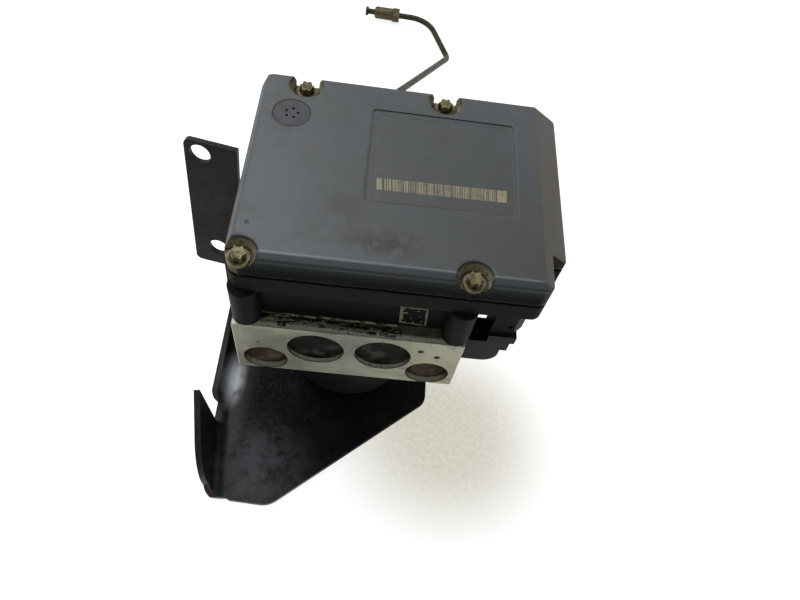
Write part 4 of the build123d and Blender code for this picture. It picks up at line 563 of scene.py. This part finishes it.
def block_aluminium():
    f = Finish("block_aluminium", shade(184, 183, 156), 0.4, 0.5)
    lines = f.cloud(0.35, 3, (90, 90, 1), seed=4)
    f.coat(f.between(lines, 0.35, 0.7, 0.7), shade(172, 171, 150), rough=0.34)
    f.coat(f.patches(0.8, 3, 0.55, 0.72, 0.6, stretch=(60, 60, 1), seed=7), shade(134, 132, 112), rough=0.5)
    f.coat(f.patches(18, 5, 0.45, 0.7, 0.55, stretch=(2, 2, 1), seed=10), shade(142, 142, 122), rough=0.5)
    # the left part of the front has darkened more than the right
    dark = f.both(f.beyond("X", 50, 0), f.patches(30, 3, 0.2, 0.6, 0.85, seed=12))
    f.coat(dark, shade(112, 115, 98), metal=0.35)
    f.coat(f.patches(5, 7, 0.56, 0.72, 0.5, seed=14), shade(108, 106, 86), rough=0.6, metal=0.4)
    # stains that run out round each bore of the front
    for x, down, reach in BORES:
        ring = f.ball((x, BLOCK_FRONT, BLOCK_TOP - down), reach - 1, reach + 5)
        f.coat(f.both(ring, f.patches(4, 6, 0.5, 0.7, 0.6, seed=x)), shade(106, 100, 78), rough=0.6)
    # the top is painted paler, as lit from above, with black and yellow oily grime along its front strip
    top = f.faces("Z", 0.6, 0.9)
    pale = f.both(top, f.patches(14, 4, 0.1, 0.5, stretch=(3, 1, 1), seed=19))
    f.coat(pale, shade(180, 188, 166), rough=0.35, metal=0.6)
    strip = f.both(top, f.beyond("Z", BLOCK_TOP - 1, BLOCK_TOP - 0.3))
    band = f.both(f.beyond("X", -40, -22), f.beyond("X", 60, 40))
    f.coat(f.both(strip, band, f.patches(5, 6, 0.5, 0.6, stretch=(3, 1, 1), seed=20)), shade(37, 38, 26),
           rough=0.35, metal=0.0)
    f.coat(f.both(strip, band, f.patches(2.5, 5, 0.6, 0.68, seed=22)), shade(92, 80, 40), rough=0.5,
           metal=0.0)
    # painted shade on the walls inside the bores, in a dark brown
    bores = f.both(f.beyond("Y", BLOCK_FRONT + 0.3, BLOCK_FRONT + 1.5), f.faces("Y", 0.3, -0.1))
    f.coat(f.both(bores, f.patches(3, 5, 0.1, 0.5, seed=24)), shade(48, 42, 30), rough=0.6, metal=0.2)
    # the lower wall of each bore faces up and gets a painted highlight near its mouth
    lit = f.both(bores, f.faces("Z", 0.25, 0.85), f.beyond("Y", BLOCK_FRONT + 4, BLOCK_FRONT + 2.5))
    f.coat(f.both(lit, f.patches(2.5, 5, 0.3, 0.42, seed=26)), shade(244, 242, 222), rough=0.45, metal=0.25)
    f.coat(f.specks(3.4, 0.5, seed=25), shade(74, 70, 56), rough=0.6)
    f.coat(f.both(f.edges(0.35), f.patches(3, 4, 0.3, 0.55, seed=28)), shade(206, 206, 190), rough=0.3)
    f.relief(lines, 0.012)
    f.relief(f.cloud(1.3, 4, seed=33), 0.03)
    return f.done()


keep("block_aluminium", block_aluminium())

# %% [markdown]
# ## Caps and plugs in the bores
# The big bores end in pressed steel caps that moisture has turned brown and black, the small ones in
# stepped plugs with a thin layer of dried dirt. Both get one recipe with different colours.

# %% Finish of the caps and plugs
def stained_steel(name, bare, stain, rust, dirt_and_shade, metal, amount):
    """Steel with broad stains, rust bloom, specks of grime, and painted shade in the corners."""
    f = Finish(name, bare, 0.6, metal, gloss=0.04)
    f.coat(f.patches(6, 6, 0.55 - 0.2 * amount, 0.72 - 0.2 * amount, seed=amount), stain, rough=0.55)
    pale = (*(min(1.0, 2.8 * c) for c in bare[:3]), 1.0)
    f.coat(f.patches(8, 6, 0.5, 0.66, 0.4, seed=amount + 2), pale, rough=0.6, gloss=0.3)
    f.coat(f.patches(2.2, 6, 0.6, 0.72, 0.85, seed=amount + 3), rust, rough=0.8, metal=0.1)
    f.coat(f.specks(2.6, 0.5, seed=amount + 5), dirt_and_shade, rough=0.8, metal=0.1)
    # painted shade in the corners, in the grime colour
    f.coat(f.crevices(4, 0.3, 0.75), dirt_and_shade, rough=0.85, metal=0.1)
    f.coat(f.both(f.edges(0.3), f.patches(2, 3, 0.45, 0.6, 0.6, seed=amount + 7)), shade(110, 104, 86),
           rough=0.35, metal=0.9)
    f.relief(f.cloud(1.6, 5, seed=amount + 9), 0.09)
    f.relief(f.cloud(0.4, 3, seed=amount + 11), 0.02)
    return f.done()


STAININGS = {
    # slot: bare colour, stain, rust, grime and corner shade, metalness, how much is stained
    "cap_steel": (shade(50, 50, 43), shade(18, 17, 13), shade(50, 38, 24), shade(12, 11, 9), 0.1, 1.15),
    "plug_steel": (shade(88, 76, 55), shade(54, 46, 32), shade(82, 54, 32), shade(22, 18, 12), 0.2, 0.75),
}
for slot_name, staining in STAININGS.items():
    keep(slot_name, stained_steel(slot_name, *staining))

# %% [markdown]
# ## Painted bracket
# The bracket is bent steel sheet with a thin black coat. Years of stones and salt have rubbed the
# coat off along the sheared edges, where the steel has rusted. Elsewhere the coat is a mottled half-gloss,
# with painted sheen, a painted highlight and a painted shadow on it.

# %% Finish of the bracket
def bracket_paint():
    f = Finish("bracket_paint", shade(22, 25, 26), 0.3, gloss=0.12)
    f.coat(f.patches(22, 5, 0.42, 0.62, 0.8, seed=2), shade(26, 29, 32), rough=0.38, gloss=0.16)
    f.coat(f.patches(4, 6, 0.5, 0.7, 0.6, seed=5), shade(13, 15, 15), rough=0.22)
    high = f.beyond("Z", 30, 60)
    f.coat(f.both(high, f.patches(12, 5, 0.25, 0.6, seed=8)), shade(52, 48, 41), rough=0.6)
    f.coat(f.patches(9, 6, 0.58, 0.74, 0.6, seed=11), shade(44, 38, 30), rough=0.6)
    f.coat(f.patches(3, 6, 0.7, 0.76, 0.5, seed=14), shade(70, 50, 34), rough=0.85)
    dusty = f.both(f.faces("Z", 0.6, 0.95), f.patches(5, 6, 0.5, 0.74, 0.3, seed=17))
    f.coat(dusty, shade(66, 64, 58), rough=0.7)
    # painted shadow below the block, a mottled half-gloss with painted bluish sheen that is stronger in
    # front, and a painted highlight streak in the left bend
    # painted shadow of the block on the plate below it
    under_block_shadow = f.both(f.beyond("Y", -92, -62), f.beyond("X", -64, -50), f.beyond("Z", 12, 6))
    f.coat(f.both(under_block_shadow, f.patches(12, 4, 0.1, 0.5, seed=47)), shade(13, 16, 16), rough=0.6, gloss=0.06)
    # painted bluish sheen in fine mottles, with darker mottles of the paint
    f.coat(f.patches(1.3, 6, 0.45, 0.75, 0.5, seed=48), shade(40, 46, 51), rough=0.3, gloss=0.2)
    f.coat(f.patches(1.9, 6, 0.5, 0.7, 0.6, seed=49), shade(9, 11, 12), rough=0.3)
    # a broad patch of painted bluish sheen in front
    sheen_patch = f.ball((-44, -80, 3), 6, 40)
    f.coat(f.both(sheen_patch, f.patches(7, 6, 0.3, 0.62, 0.8, seed=46)), shade(62, 67, 73), rough=0.45, gloss=0.3)
    # a painted highlight streak along the left bend
    streak = f.ball((-68, -27, 4), 0, 22, (0.4, 1.05, 1.2))
    painted_glare = f.both(streak, f.patches(7, 6, 0.2, 0.5, 0.95, stretch=(1, 1.6, 1), seed=45.3))
    f.coat(painted_glare, shade(240, 246, 255), rough=0.4, gloss=0.6)
    # brown patches below the block
    for x, y, wide in ((-6, -54, 12), (23, -45, 12), (-23, -62, 9)):
        spot = f.ball((x, y, 3), 0, wide, (1.2, 0.8, 1))
        f.coat(f.both(spot, f.patches(6, 5, 0.3, 0.6, 0.6, seed=x)), shade(44, 39, 29), rough=0.5)
    # the sheared edges are bare grey steel, with rust low down and most of it at the ear's foot
    edge = f.edges(1.3)
    lower = f.beyond("Z", 20, 12)
    f.coat(edge, shade(50, 50, 46), rough=0.7)
    f.coat(f.both(edge, lower, f.patches(6, 6, 0.4, 0.56, seed=20)), shade(112, 78, 58), rough=0.88)
    f.coat(f.both(edge, lower, f.patches(1.8, 5, 0.5, 0.62, seed=23)), shade(80, 50, 34), rough=0.9)
    ear_foot = f.both(f.edges(2.2), f.beyond("Y", -50, -56), f.beyond("Z", 4, 8), f.beyond("Z", 20, 14))
    f.coat(f.both(ear_foot, f.patches(3, 5, 0.3, 0.5, seed=26)), shade(146, 112, 94), rough=0.9)
    chips = f.both(f.specks(6, 0.7, seed=29), f.patches(30, 3, 0.5, 0.6, 0.7, seed=30))
    f.coat(chips, shade(58, 46, 34), rough=0.9)
    f.coat(f.specks(12, 0.9, seed=32), shade(128, 122, 108), rough=0.8)
    scratch = f.patches(1.2, 2, 0.7, 0.76, 0.7, stretch=(1, 50, 1), seed=35)
    f.coat(f.both(scratch, f.patches(25, 2, 0.48, 0.58, seed=36)), shade(98, 96, 90))
    # painted shade in the corners and joints, in a grime brown
    f.coat(f.crevices(5, 0.35, 0.75), shade(34, 28, 21), rough=0.85)
    f.relief(f.cloud(1.4, 5, seed=38), 0.16)
    f.relief(f.cloud(7, 3, seed=41), 0.30)
    return f.done()


keep("bracket_paint", bracket_paint())

# %% [markdown]
# ## Pipe, nuts and screws
# The brake pipe is steel with a greenish grey zinc coat. Nuts and screws were plated yellow, which has
# aged to a dull olive. The same recipe serves all three, because plating wears in one way: it goes
# cloudy, then brown spots come through.

# %% Finish of plated steel
def plated_steel(name, coat, cloudy, bright, rough, seed):
    """Zinc plating that has gone cloudy, with brown spots and rubbed edges."""
    f = Finish(name, coat, rough, 0.45, gloss=0.15)
    f.coat(f.patches(5, 5, 0.4, 0.65, seed=seed), cloudy, rough=rough + 0.12)
    f.coat(f.patches(1.5, 5, 0.56, 0.7, 0.8, seed=seed + 2), shade(96, 72, 46), rough=0.8, metal=0.1)
    f.coat(f.both(f.edges(0.3), f.patches(2, 3, 0.35, 0.6, seed=seed + 4)), bright, rough=0.3)
    # painted shade in the corners, in a grime brown
    f.coat(f.crevices(2.5, 0.35, 0.8), shade(44, 38, 25), rough=0.85, metal=0.1)
    f.coat(f.specks(2.2, 0.4, seed=seed + 6), shade(60, 50, 34), rough=0.8)
    f.relief(f.cloud(0.8, 4, seed=seed + 8), 0.03)
    return f.done()


PLATINGS = {
    # slot: coat, cloudy tone, rubbed edge, roughness, seed
    "pipe_steel": (shade(54, 58, 42), shade(42, 45, 33), shade(88, 90, 72), 0.38, 3.0),
    "nut_steel": (shade(96, 90, 68), shade(70, 65, 48), shade(150, 144, 120), 0.42, 5.0),
    "screw_steel": (shade(124, 116, 88), shade(84, 78, 56), shade(170, 164, 138), 0.45, 9.0),
}
for slot_name, plating in PLATINGS.items():
    keep(slot_name, plated_steel(slot_name, *plating))

# %% [markdown]
# ## Finishes of the other pieces
# Rubber, the breather, the moulded motor plug and everything inside the block and the motor need a
# finish too, because the module can be taken apart. They share one recipe: a bare colour, a cloudy
# second tone, some grime, painted shade in the corners, rubbed edges and a grain of the right size for the
# material.

# %% One recipe for the small pieces
def workshop_finish(name, seed, bare, cloudy, dirt_and_shade, rough, metal, grain, depth, lined):
    """A plain material with cloudy colour, grime in patches, painted shade in its corners, rubbed edges and
    a grain.
    """
    dark = sum(bare[:3]) < 0.1
    f = Finish(name, bare, rough, metal, gloss=0.12 if dark else 0.4)
    clouded = f.patches(6 * grain, 5, 0.42, 0.68, 0.8, stretch=lined, seed=seed)
    f.coat(clouded, cloudy, rough=rough + 0.1)
    f.coat(f.patches(3 * grain, 6, 0.6, 0.74, 0.6, seed=seed + 2), dirt_and_shade, rough=0.8)
    # painted shade in the corners, in the grime colour
    f.coat(f.crevices(3, 0.3, 0.75), dirt_and_shade, rough=0.85)
    rubbed = (*(min(1.0, 1.6 * c + 0.02) for c in bare[:3]), 1.0)
    f.coat(f.both(f.edges(0.25), f.patches(2, 3, 0.4, 0.6, 0.7, seed=seed + 4)), rubbed)
    f.relief(f.cloud(grain, 3, lined, seed=seed + 6), depth)
    return f.done()


OIL = shade(46, 40, 26)
DUST = shade(84, 78, 62)
FLUX = shade(20, 30, 22)
SOOT = shade(20, 20, 20)
CARBON = shade(30, 26, 24)
FLASH_RUST = shade(86, 66, 44)
HEAD_RUST = shade(88, 60, 38)
RECIPES = {
    # slot: bare colour, cloudy tone, grime and corner shade, roughness, metalness, grain in mm, relief in
    # mm, stretch
    "seal_rubber": (shade(16, 15, 12), shade(30, 27, 19), shade(62, 54, 34), 0.6, 0, 0.8, 0.05, EVEN),
    "breather_plastic": (shade(64, 69, 74), shade(56, 59, 62), DUST, 0.5, 0, 0.6, 0.03, EVEN),
    "board_laminate": (shade(28, 84, 52), shade(22, 66, 42), FLUX, 0.4, 0, 1.5, 0.02, (1, 4, 1)),
    "pin_brass": (shade(196, 164, 92), shade(168, 136, 74), OIL, 0.3, 0.9, 0.4, 0.01, (1, 1, 4)),
    "coil_plastic": (shade(34, 36, 40), shade(46, 46, 46), DUST, 0.5, 0, 0.7, 0.03, EVEN),
    "valve_steel": (shade(168, 170, 172), shade(144, 145, 142), OIL, 0.3, 0.9, 0.5, 0.01, (6, 6, 1)),
    "spring_steel": (shade(140, 142, 146), shade(112, 113, 114), OIL, 0.35, 0.9, 0.4, 0.01, EVEN),
    "piston_metal": (shade(182, 180, 168), shade(156, 152, 138), OIL, 0.3, 0.85, 0.5, 0.01, (1, 5, 1)),
    "can_steel": (shade(22, 25, 24), shade(28, 31, 30), shade(34, 29, 21), 0.5, 0, 1.2, 0.05, EVEN),
    "flange_steel": (shade(150, 150, 142), shade(120, 118, 106), FLASH_RUST, 0.45, 0.8, 0.8, 0.04, EVEN),
    "shaft_steel": (shade(186, 188, 190), shade(160, 162, 162), OIL, 0.22, 0.95, 0.4, 0.005, (1, 1, 8)),
    "core_steel": (shade(96, 96, 98), shade(74, 74, 74), OIL, 0.5, 0.7, 0.5, 0.06, (40, 40, 1)),
    "winding_copper": (shade(166, 84, 42), shade(128, 60, 30), OIL, 0.38, 0.6, 0.5, 0.15, (12, 12, 1)),
    "commutator_copper": (shade(190, 118, 78), shade(150, 88, 56), CARBON, 0.3, 0.85, 0.4, 0.02, (1, 1, 6)),
    "magnet_ferrite": (shade(48, 48, 50), shade(60, 60, 60), OIL, 0.6, 0.1, 0.6, 0.03, EVEN),
    "brush_carbon": (shade(34, 34, 35), shade(48, 47, 46), SOOT, 0.55, 0.2, 0.5, 0.04, EVEN),
    "holder_plastic": (shade(150, 120, 78), shade(130, 102, 64), OIL, 0.55, 0, 0.8, 0.03, EVEN),
    "bush_bronze": (shade(168, 128, 72), shade(140, 104, 58), OIL, 0.4, 0.8, 0.5, 0.02, EVEN),
    "plug_plastic": (shade(13, 13, 12), shade(20, 20, 18), shade(40, 36, 27), 0.45, 0, 0.9, 0.05, EVEN),
    "mount_rubber": (shade(24, 24, 24), shade(36, 35, 32), DUST, 0.75, 0, 1.0, 0.06, EVEN),
    "bolt_steel": (shade(120, 114, 92), shade(94, 88, 70), HEAD_RUST, 0.42, 0.7, 0.6, 0.03, EVEN),
}
for turn, (slot_name, recipe) in enumerate(RECIPES.items()):
    keep(slot_name, workshop_finish(slot_name, 2.0 + 0.37 * turn, *recipe))
print(len(finishes), "finishes in all")

# %% [markdown]
# ## Dress the CAD nodes
# A CAD mesh comes as loose triangles with knife edges. Four modifiers turn it into a real piece: Weld
# joins the triangles, Decimate dissolves the cuts inside flat faces, Bevel breaks the sharp edges by a
# width that suits each piece, and Edge Split keeps what is left of them crisp under smooth shading.
# Weighted Normal then lets the large flat faces decide the shading, so that they stay flat to the eye.

# %% Give every node its finish and its edges
EDGE_ROUND = {
    # node: bevel width in mm
    "controller_cover": 0.7, "controller_housing": 0.45, "bracket": 0.45, "motor_plug": 0.5,
    "accumulator_cap_left": 0.35, "accumulator_cap_right": 0.35, "damper_plug_left": 0.4,
    "damper_plug_right": 0.4, "pipe_nut_block": 0.25, "motor_flange": 0.5, "motor_can": 0.4,
    "rubber_mounts": 0.5, "mount_bolts": 0.2, "motor_screws": 0.2, "breather_disc": 0.12,
}
OWN_FINISH = {"damper_plug_left": "plug_steel", "damper_plug_right": "plug_steel"}
SHARP = math.radians(33)       # an edge that turns more than this is kept crisp
FLAT = math.radians(1)         # faces that turn less than this are one flat face
JOIN = 0.002 * MM              # corners nearer than this are one corner


def soften(obj, width):
    """Join, clean, bevel by that many mm and shade a CAD node with modifiers alone."""
    for face in obj.data.polygons:
        face.use_smooth = True
    weld = obj.modifiers.new("weld", "WELD")
    weld.merge_threshold = JOIN
    if width:
        clean = obj.modifiers.new("clean", "DECIMATE")
        clean.decimate_type = "DISSOLVE"
        clean.angle_limit = FLAT
        bevel = obj.modifiers.new("bevel", "BEVEL")
        bevel.width = width * MM
        bevel.segments = 3
        bevel.limit_method = "ANGLE"
        bevel.angle_limit = SHARP
        bevel.use_clamp_overlap = True
    split = obj.modifiers.new("split", "EDGE_SPLIT")
    split.split_angle = SHARP
    even = obj.modifiers.new("even", "WEIGHTED_NORMAL")
    even.mode = "FACE_AREA"
    even.weight = 100


for subpart in frame["record"]["subparts"]:
    name = subpart["node"]
    solid = nodes[name]
    solid.data.materials.clear()
    solid.data.materials.append(finishes[OWN_FINISH.get(name, subpart["material_slot"])])
    soften(solid, EDGE_ROUND.get(name, 0))
print("dressed", len(nodes), "nodes,", len(EDGE_ROUND), "of them with rounded edges")

# %% [markdown]
# ## Printed bars and the line round the label
# The sunken panel of the cover carries print. It is rebuilt as what can be reused anywhere: a thin line
# with rounded corners and a strip of plain bars of chance widths. Print has almost no thickness, so
# both stand less than a tenth of a millimetre proud of the panel's floor.

# %% Helpers for added pieces
def add_piece(name, bm, finish):
    """Turn a bmesh into an object with its finish, which moves with the module."""
    bmesh.ops.remove_doubles(bm, verts=bm.verts, dist=0.001 * MM)
    bmesh.ops.recalc_face_normals(bm, faces=bm.faces)
    mesh = bpy.data.meshes.new(name)
    bm.to_mesh(mesh)
    bm.free()
    piece = bpy.data.objects.new(name, mesh)
    piece.data.materials.append(finish)
    bpy.context.scene.collection.objects.link(piece)
    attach(piece, "module")
    return piece


def rounded_loop(corners, radius, steps=8):
    """The outline of a flat four-sided shape with its corners rounded, as points in mm."""
    points = []
    for turn, corner in enumerate(corners):
        here = Vector(corner)
        before = (Vector(corners[turn - 1]) - here).normalized()
        after = (Vector(corners[(turn + 1) % len(corners)]) - here).normalized()
        half = before.angle(after) / 2
        middle = here + (before + after).normalized() * radius / math.sin(half)
        first = here + before * radius / math.tan(half) - middle
        last = here + after * radius / math.tan(half) - middle
        for step in range(steps + 1):
            points.append(middle + first.lerp(last, step / steps).normalized() * radius)
    return points


def raised(bm, outline, height):
    """Stand a flat outline of 3-D points up by a vector, both in mm, as a closed solid."""
    low = [bm.verts.new(Vector(point) * MM) for point in outline]
    high = [bm.verts.new((Vector(point) + height) * MM) for point in outline]
    bm.faces.new(low)
    bm.faces.new(high)
    for turn in range(len(low)):
        after = (turn + 1) % len(low)
        bm.faces.new((low[turn], low[after], high[after], high[turn]))


print("helpers are ready")

# %% Finish of the print
def print_ink(name, colour, painted_glare):
    """Thin print that has rubbed away in places and let the panel show through."""
    f = Finish(name, colour, 0.6, gloss=0.2)
    f.coat(f.patches(3, 5, 0.5, 0.66, painted_glare, seed=4), shade(110, 108, 92))
    f.coat(f.patches(0.7, 4, 0.55, 0.68, painted_glare, seed=6), shade(84, 84, 74), rough=0.8)
    f.relief(f.cloud(0.5, 3, seed=8), 0.01)
    return f.done()


label_ink = print_ink("label_line_ink", shade(108, 112, 112), 0.7)
print("line ink:", len(label_ink.node_tree.nodes), "nodes")

# %% Line round the label
PANEL_FLOOR = LID_TOP - 0.45
LABEL_CORNERS = ((2.1, 36.2), (63.1, 37.8), (63.4, -13.5), (3.2, -14.8))
LABEL_CORNER_R = 3.2
LINE_SECTION = ((0.24, -0.05), (0.12, 0.09), (-0.12, 0.09), (-0.24, -0.05))      # mm outwards, mm up

label_bm = bmesh.new()
label_path = rounded_loop(LABEL_CORNERS, LABEL_CORNER_R)
rows = []
for turn, point in enumerate(label_path):
    along = label_path[(turn + 1) % len(label_path)] - label_path[turn - 1]
    out = Vector((-along.y, along.x)).normalized()
    row = []
    for sideways, up in LINE_SECTION:
        spot = point + out * sideways
        row.append(label_bm.verts.new(Vector((spot.x, spot.y, PANEL_FLOOR + up)) * MM))
    rows.append(row)
for turn, row in enumerate(rows):
    after = rows[(turn + 1) % len(rows)]
    for side in range(4):
        other = (side + 1) % 4
        label_bm.faces.new((row[side], row[other], after[other], after[side]))
add_piece("label_line", label_bm, label_ink)
print("label line:", len(rows), "sections")

# %% Strip of plain bars
BARS_TOP = ((4.6, -1.8), (61.6, -0.7))       # X, Y of the strip's upper corners
BARS_FOOT = ((5.1, -8.3), (61.4, -7.4))
BAR_WIDTHS = (0.004, 0.004, 0.007, 0.011, 0.015)      # shares of the strip's length
BAR_GAPS = (0.004, 0.005, 0.008)
BARS_FROM, BARS_TO = 0.06, 0.915
FIRST_BLOCK, LAST_BLOCK = (0.0, 0.042), (0.925, 1.0)
random.seed(11)

bars_bm = bmesh.new()
spans = [FIRST_BLOCK]
at = BARS_FROM
while at < BARS_TO:
    wide = random.choice(BAR_WIDTHS)
    spans.append((at, at + wide))
    at += wide + random.choice(BAR_GAPS)
spans.append(LAST_BLOCK)
for first, last in spans:
    outline = []
    for line, share in ((BARS_TOP, first), (BARS_TOP, last), (BARS_FOOT, last), (BARS_FOOT, first)):
        spot = Vector(line[0]).lerp(Vector(line[1]), share)
        outline.append((spot.x, spot.y, PANEL_FLOOR - 0.02))
    raised(bars_bm, outline, Vector((0, 0, 0.06)))
bars_ink = print_ink("label_bars_ink", shade(186, 178, 148), 0.45)
add_piece("label_bars", bars_bm, bars_ink)
print("bars:", len(spans))

# %% [markdown]
# ## Grime and a torn sticker
# Oil and dust have set to a lumpy crust on the strip of the block in front of the skirt. Such a crust
# is a height field: noise lifts a fine grid, and what stays below the surface is cut away. The sticker
# has lost most of its paper, so it is a sheet of small upright cells in which noise decides what is
# left: a ragged border and a few scraps inside. Both are thin, so they stay within the CAD box.

# %% Finish of the grime
def grime_finish():
    """Oily black, with dust on the tops of the lumps and a pale line along the skirt."""
    f = Finish("oily_grime", shade(11, 11, 7), 0.32, gloss=0.4)
    lumps = f.beyond("Z", BLOCK_TOP + 0.25, BLOCK_TOP + 0.6)
    dusty = f.both(lumps, f.patches(1.1, 5, 0.53, 0.62, stretch=(2.5, 1, 1), seed=3))
    f.coat(dusty, shade(158, 150, 88), rough=0.5)
    rear = f.both(f.beyond("Y", -48.0, -47.4), f.patches(2.4, 5, 0.42, 0.5, stretch=(3, 1, 1), seed=5))
    f.coat(rear, shade(206, 198, 158), rough=0.7)
    f.coat(f.specks(1.6, 0.35, seed=7), shade(186, 176, 120), rough=0.8)
    f.relief(f.cloud(0.6, 4, seed=9), 0.08)
    return f.done()


oily_grime = grime_finish()
print("oily_grime:", len(oily_grime.node_tree.nodes), "nodes")

# %% Grime on the block's top strip
CRUST_LEFT, CRUST_WIDE = -42.0, 67.0       # mm along X
CRUST_FRONT, CRUST_DEEP = -54.9, 8.25      # mm along Y
CRUST_SUNK, CRUST_MOST = -0.06, 0.9        # mm below and above the block's top


def crust_height(x, y):
    """How far the crust stands above the block at a place, all in mm."""
    # lumps, longer along X than across it
    lump = noise.fractal(Vector((x / 5.0, y / 1.8, 4.0)), 0.8, 2.1, 5)
    # a band that leaves the skirt by 2.4 mm over its length, and thins out at both ends
    middle = -48.6 - 2.4 * (x + 40) / 62
    band = 1.0 - (abs(y - middle) / 2.6) ** 2
    ends = min(1.0, (x + 41) / 3, (24 - x) / 4)
    # a blot in front of its left end, and a bead in the corner along the skirt
    blot = 1.2 - math.hypot(x + 31, 1.3 * (y + 52)) / 2.2
    rear = 0.55 if y > -47.5 and x < 21 else -1
    return max(0.95 * min(band, ends) + 0.75 * lump, blot + 0.4 * lump, rear + 0.8 * lump) - 0.25


crust_bm = bmesh.new()
bmesh.ops.create_grid(crust_bm, x_segments=220, y_segments=34, size=0.5)
for vert in crust_bm.verts:
    x = CRUST_LEFT + CRUST_WIDE * (vert.co.x + 0.5)
    y = CRUST_FRONT + CRUST_DEEP * (vert.co.y + 0.5)
    lift = max(CRUST_SUNK, min(CRUST_MOST, crust_height(x, y)))
    vert.co = Vector((x, y, BLOCK_TOP + lift)) * MM
cut = (BLOCK_TOP + CRUST_SUNK + 0.005) * MM
bare = [face for face in crust_bm.faces if max(v.co.z for v in face.verts) < cut]
bmesh.ops.delete(crust_bm, geom=bare, context="FACES")
crust = add_piece("grime_crust", crust_bm, oily_grime)
for face in crust.data.polygons:
    face.use_smooth = True
print("crust:", len(crust.data.polygons), "faces")

# %% Torn sticker on the skirt
SKIRT_FRONT = -46.6                          # Y of the skirt's front face
STICKER_TOP = ((20.8, 139.4), (33.2, 139.4))       # X, Z of its upper corners
STICKER_FOOT = ((21.6, 125.8), (34.0, 125.0))
COLUMNS, LINES = 44, 50


def sticker_spot(across, up):
    """A place on the sticker from its shares of the width and the height, in mm."""
    foot = Vector(STICKER_FOOT[0]).lerp(Vector(STICKER_FOOT[1]), across)
    top = Vector(STICKER_TOP[0]).lerp(Vector(STICKER_TOP[1]), across)
    spot = foot.lerp(top, up)
    return spot.x, SKIRT_FRONT + 0.02, spot.y


sticker_bm = bmesh.new()
for column in range(COLUMNS):
    for line in range(LINES):
        # a cell is left where one of these is above 0: ragged left edge, other edges, scraps inside
        u, v = (column + 0.5) / COLUMNS, (line + 0.5) / LINES
        torn = noise.fractal(Vector((u * 9, v * 9, 2.0)), 0.8, 2.0, 4)
        left = 0.10 + 0.12 * torn - u
        others = max(v - 0.955, u - 0.93, 0.05 - v) + 0.05 * noise.noise(Vector((u * 14, v * 14, 6)))
        inside = 0.03 * (noise.noise(Vector((u * 7, v * 7, 9))) - 0.46)
        if max(left, others, inside) < 0:
            continue
        corners = ((0, 0), (1, 0), (1, 1), (0, 1))
        outline = [sticker_spot((column + du) / COLUMNS, (line + dv) / LINES) for du, dv in corners]
        raised(sticker_bm, outline, Vector((0, -0.12, 0)))
paper = print_ink("sticker_paper", shade(176, 172, 148), 0.6)
sticker = add_piece("torn_sticker", sticker_bm, paper)
print("sticker:", len(sticker.data.polygons), "faces")

# %% [markdown]
# ## Copies of the springs
# When an accumulator fills, its piston slides towards the cap and the spring between them shortens. A
# rigid CAD spring can't do that. Here each one is hidden and shown by a copy of its own mesh with
# smooth faces, which moves with the module and keeps its shape.

for side in ("left", "right"):
    spring = nodes["accumulator_spring_" + side]
    coil = bpy.data.objects.new("accumulator_coil_" + side, spring.data.copy())
    bpy.context.scene.collection.objects.link(coil)
    for face in coil.data.polygons:
        face.use_smooth = True
    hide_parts(spring.name)
    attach(coil, "module")
    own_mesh(coil)
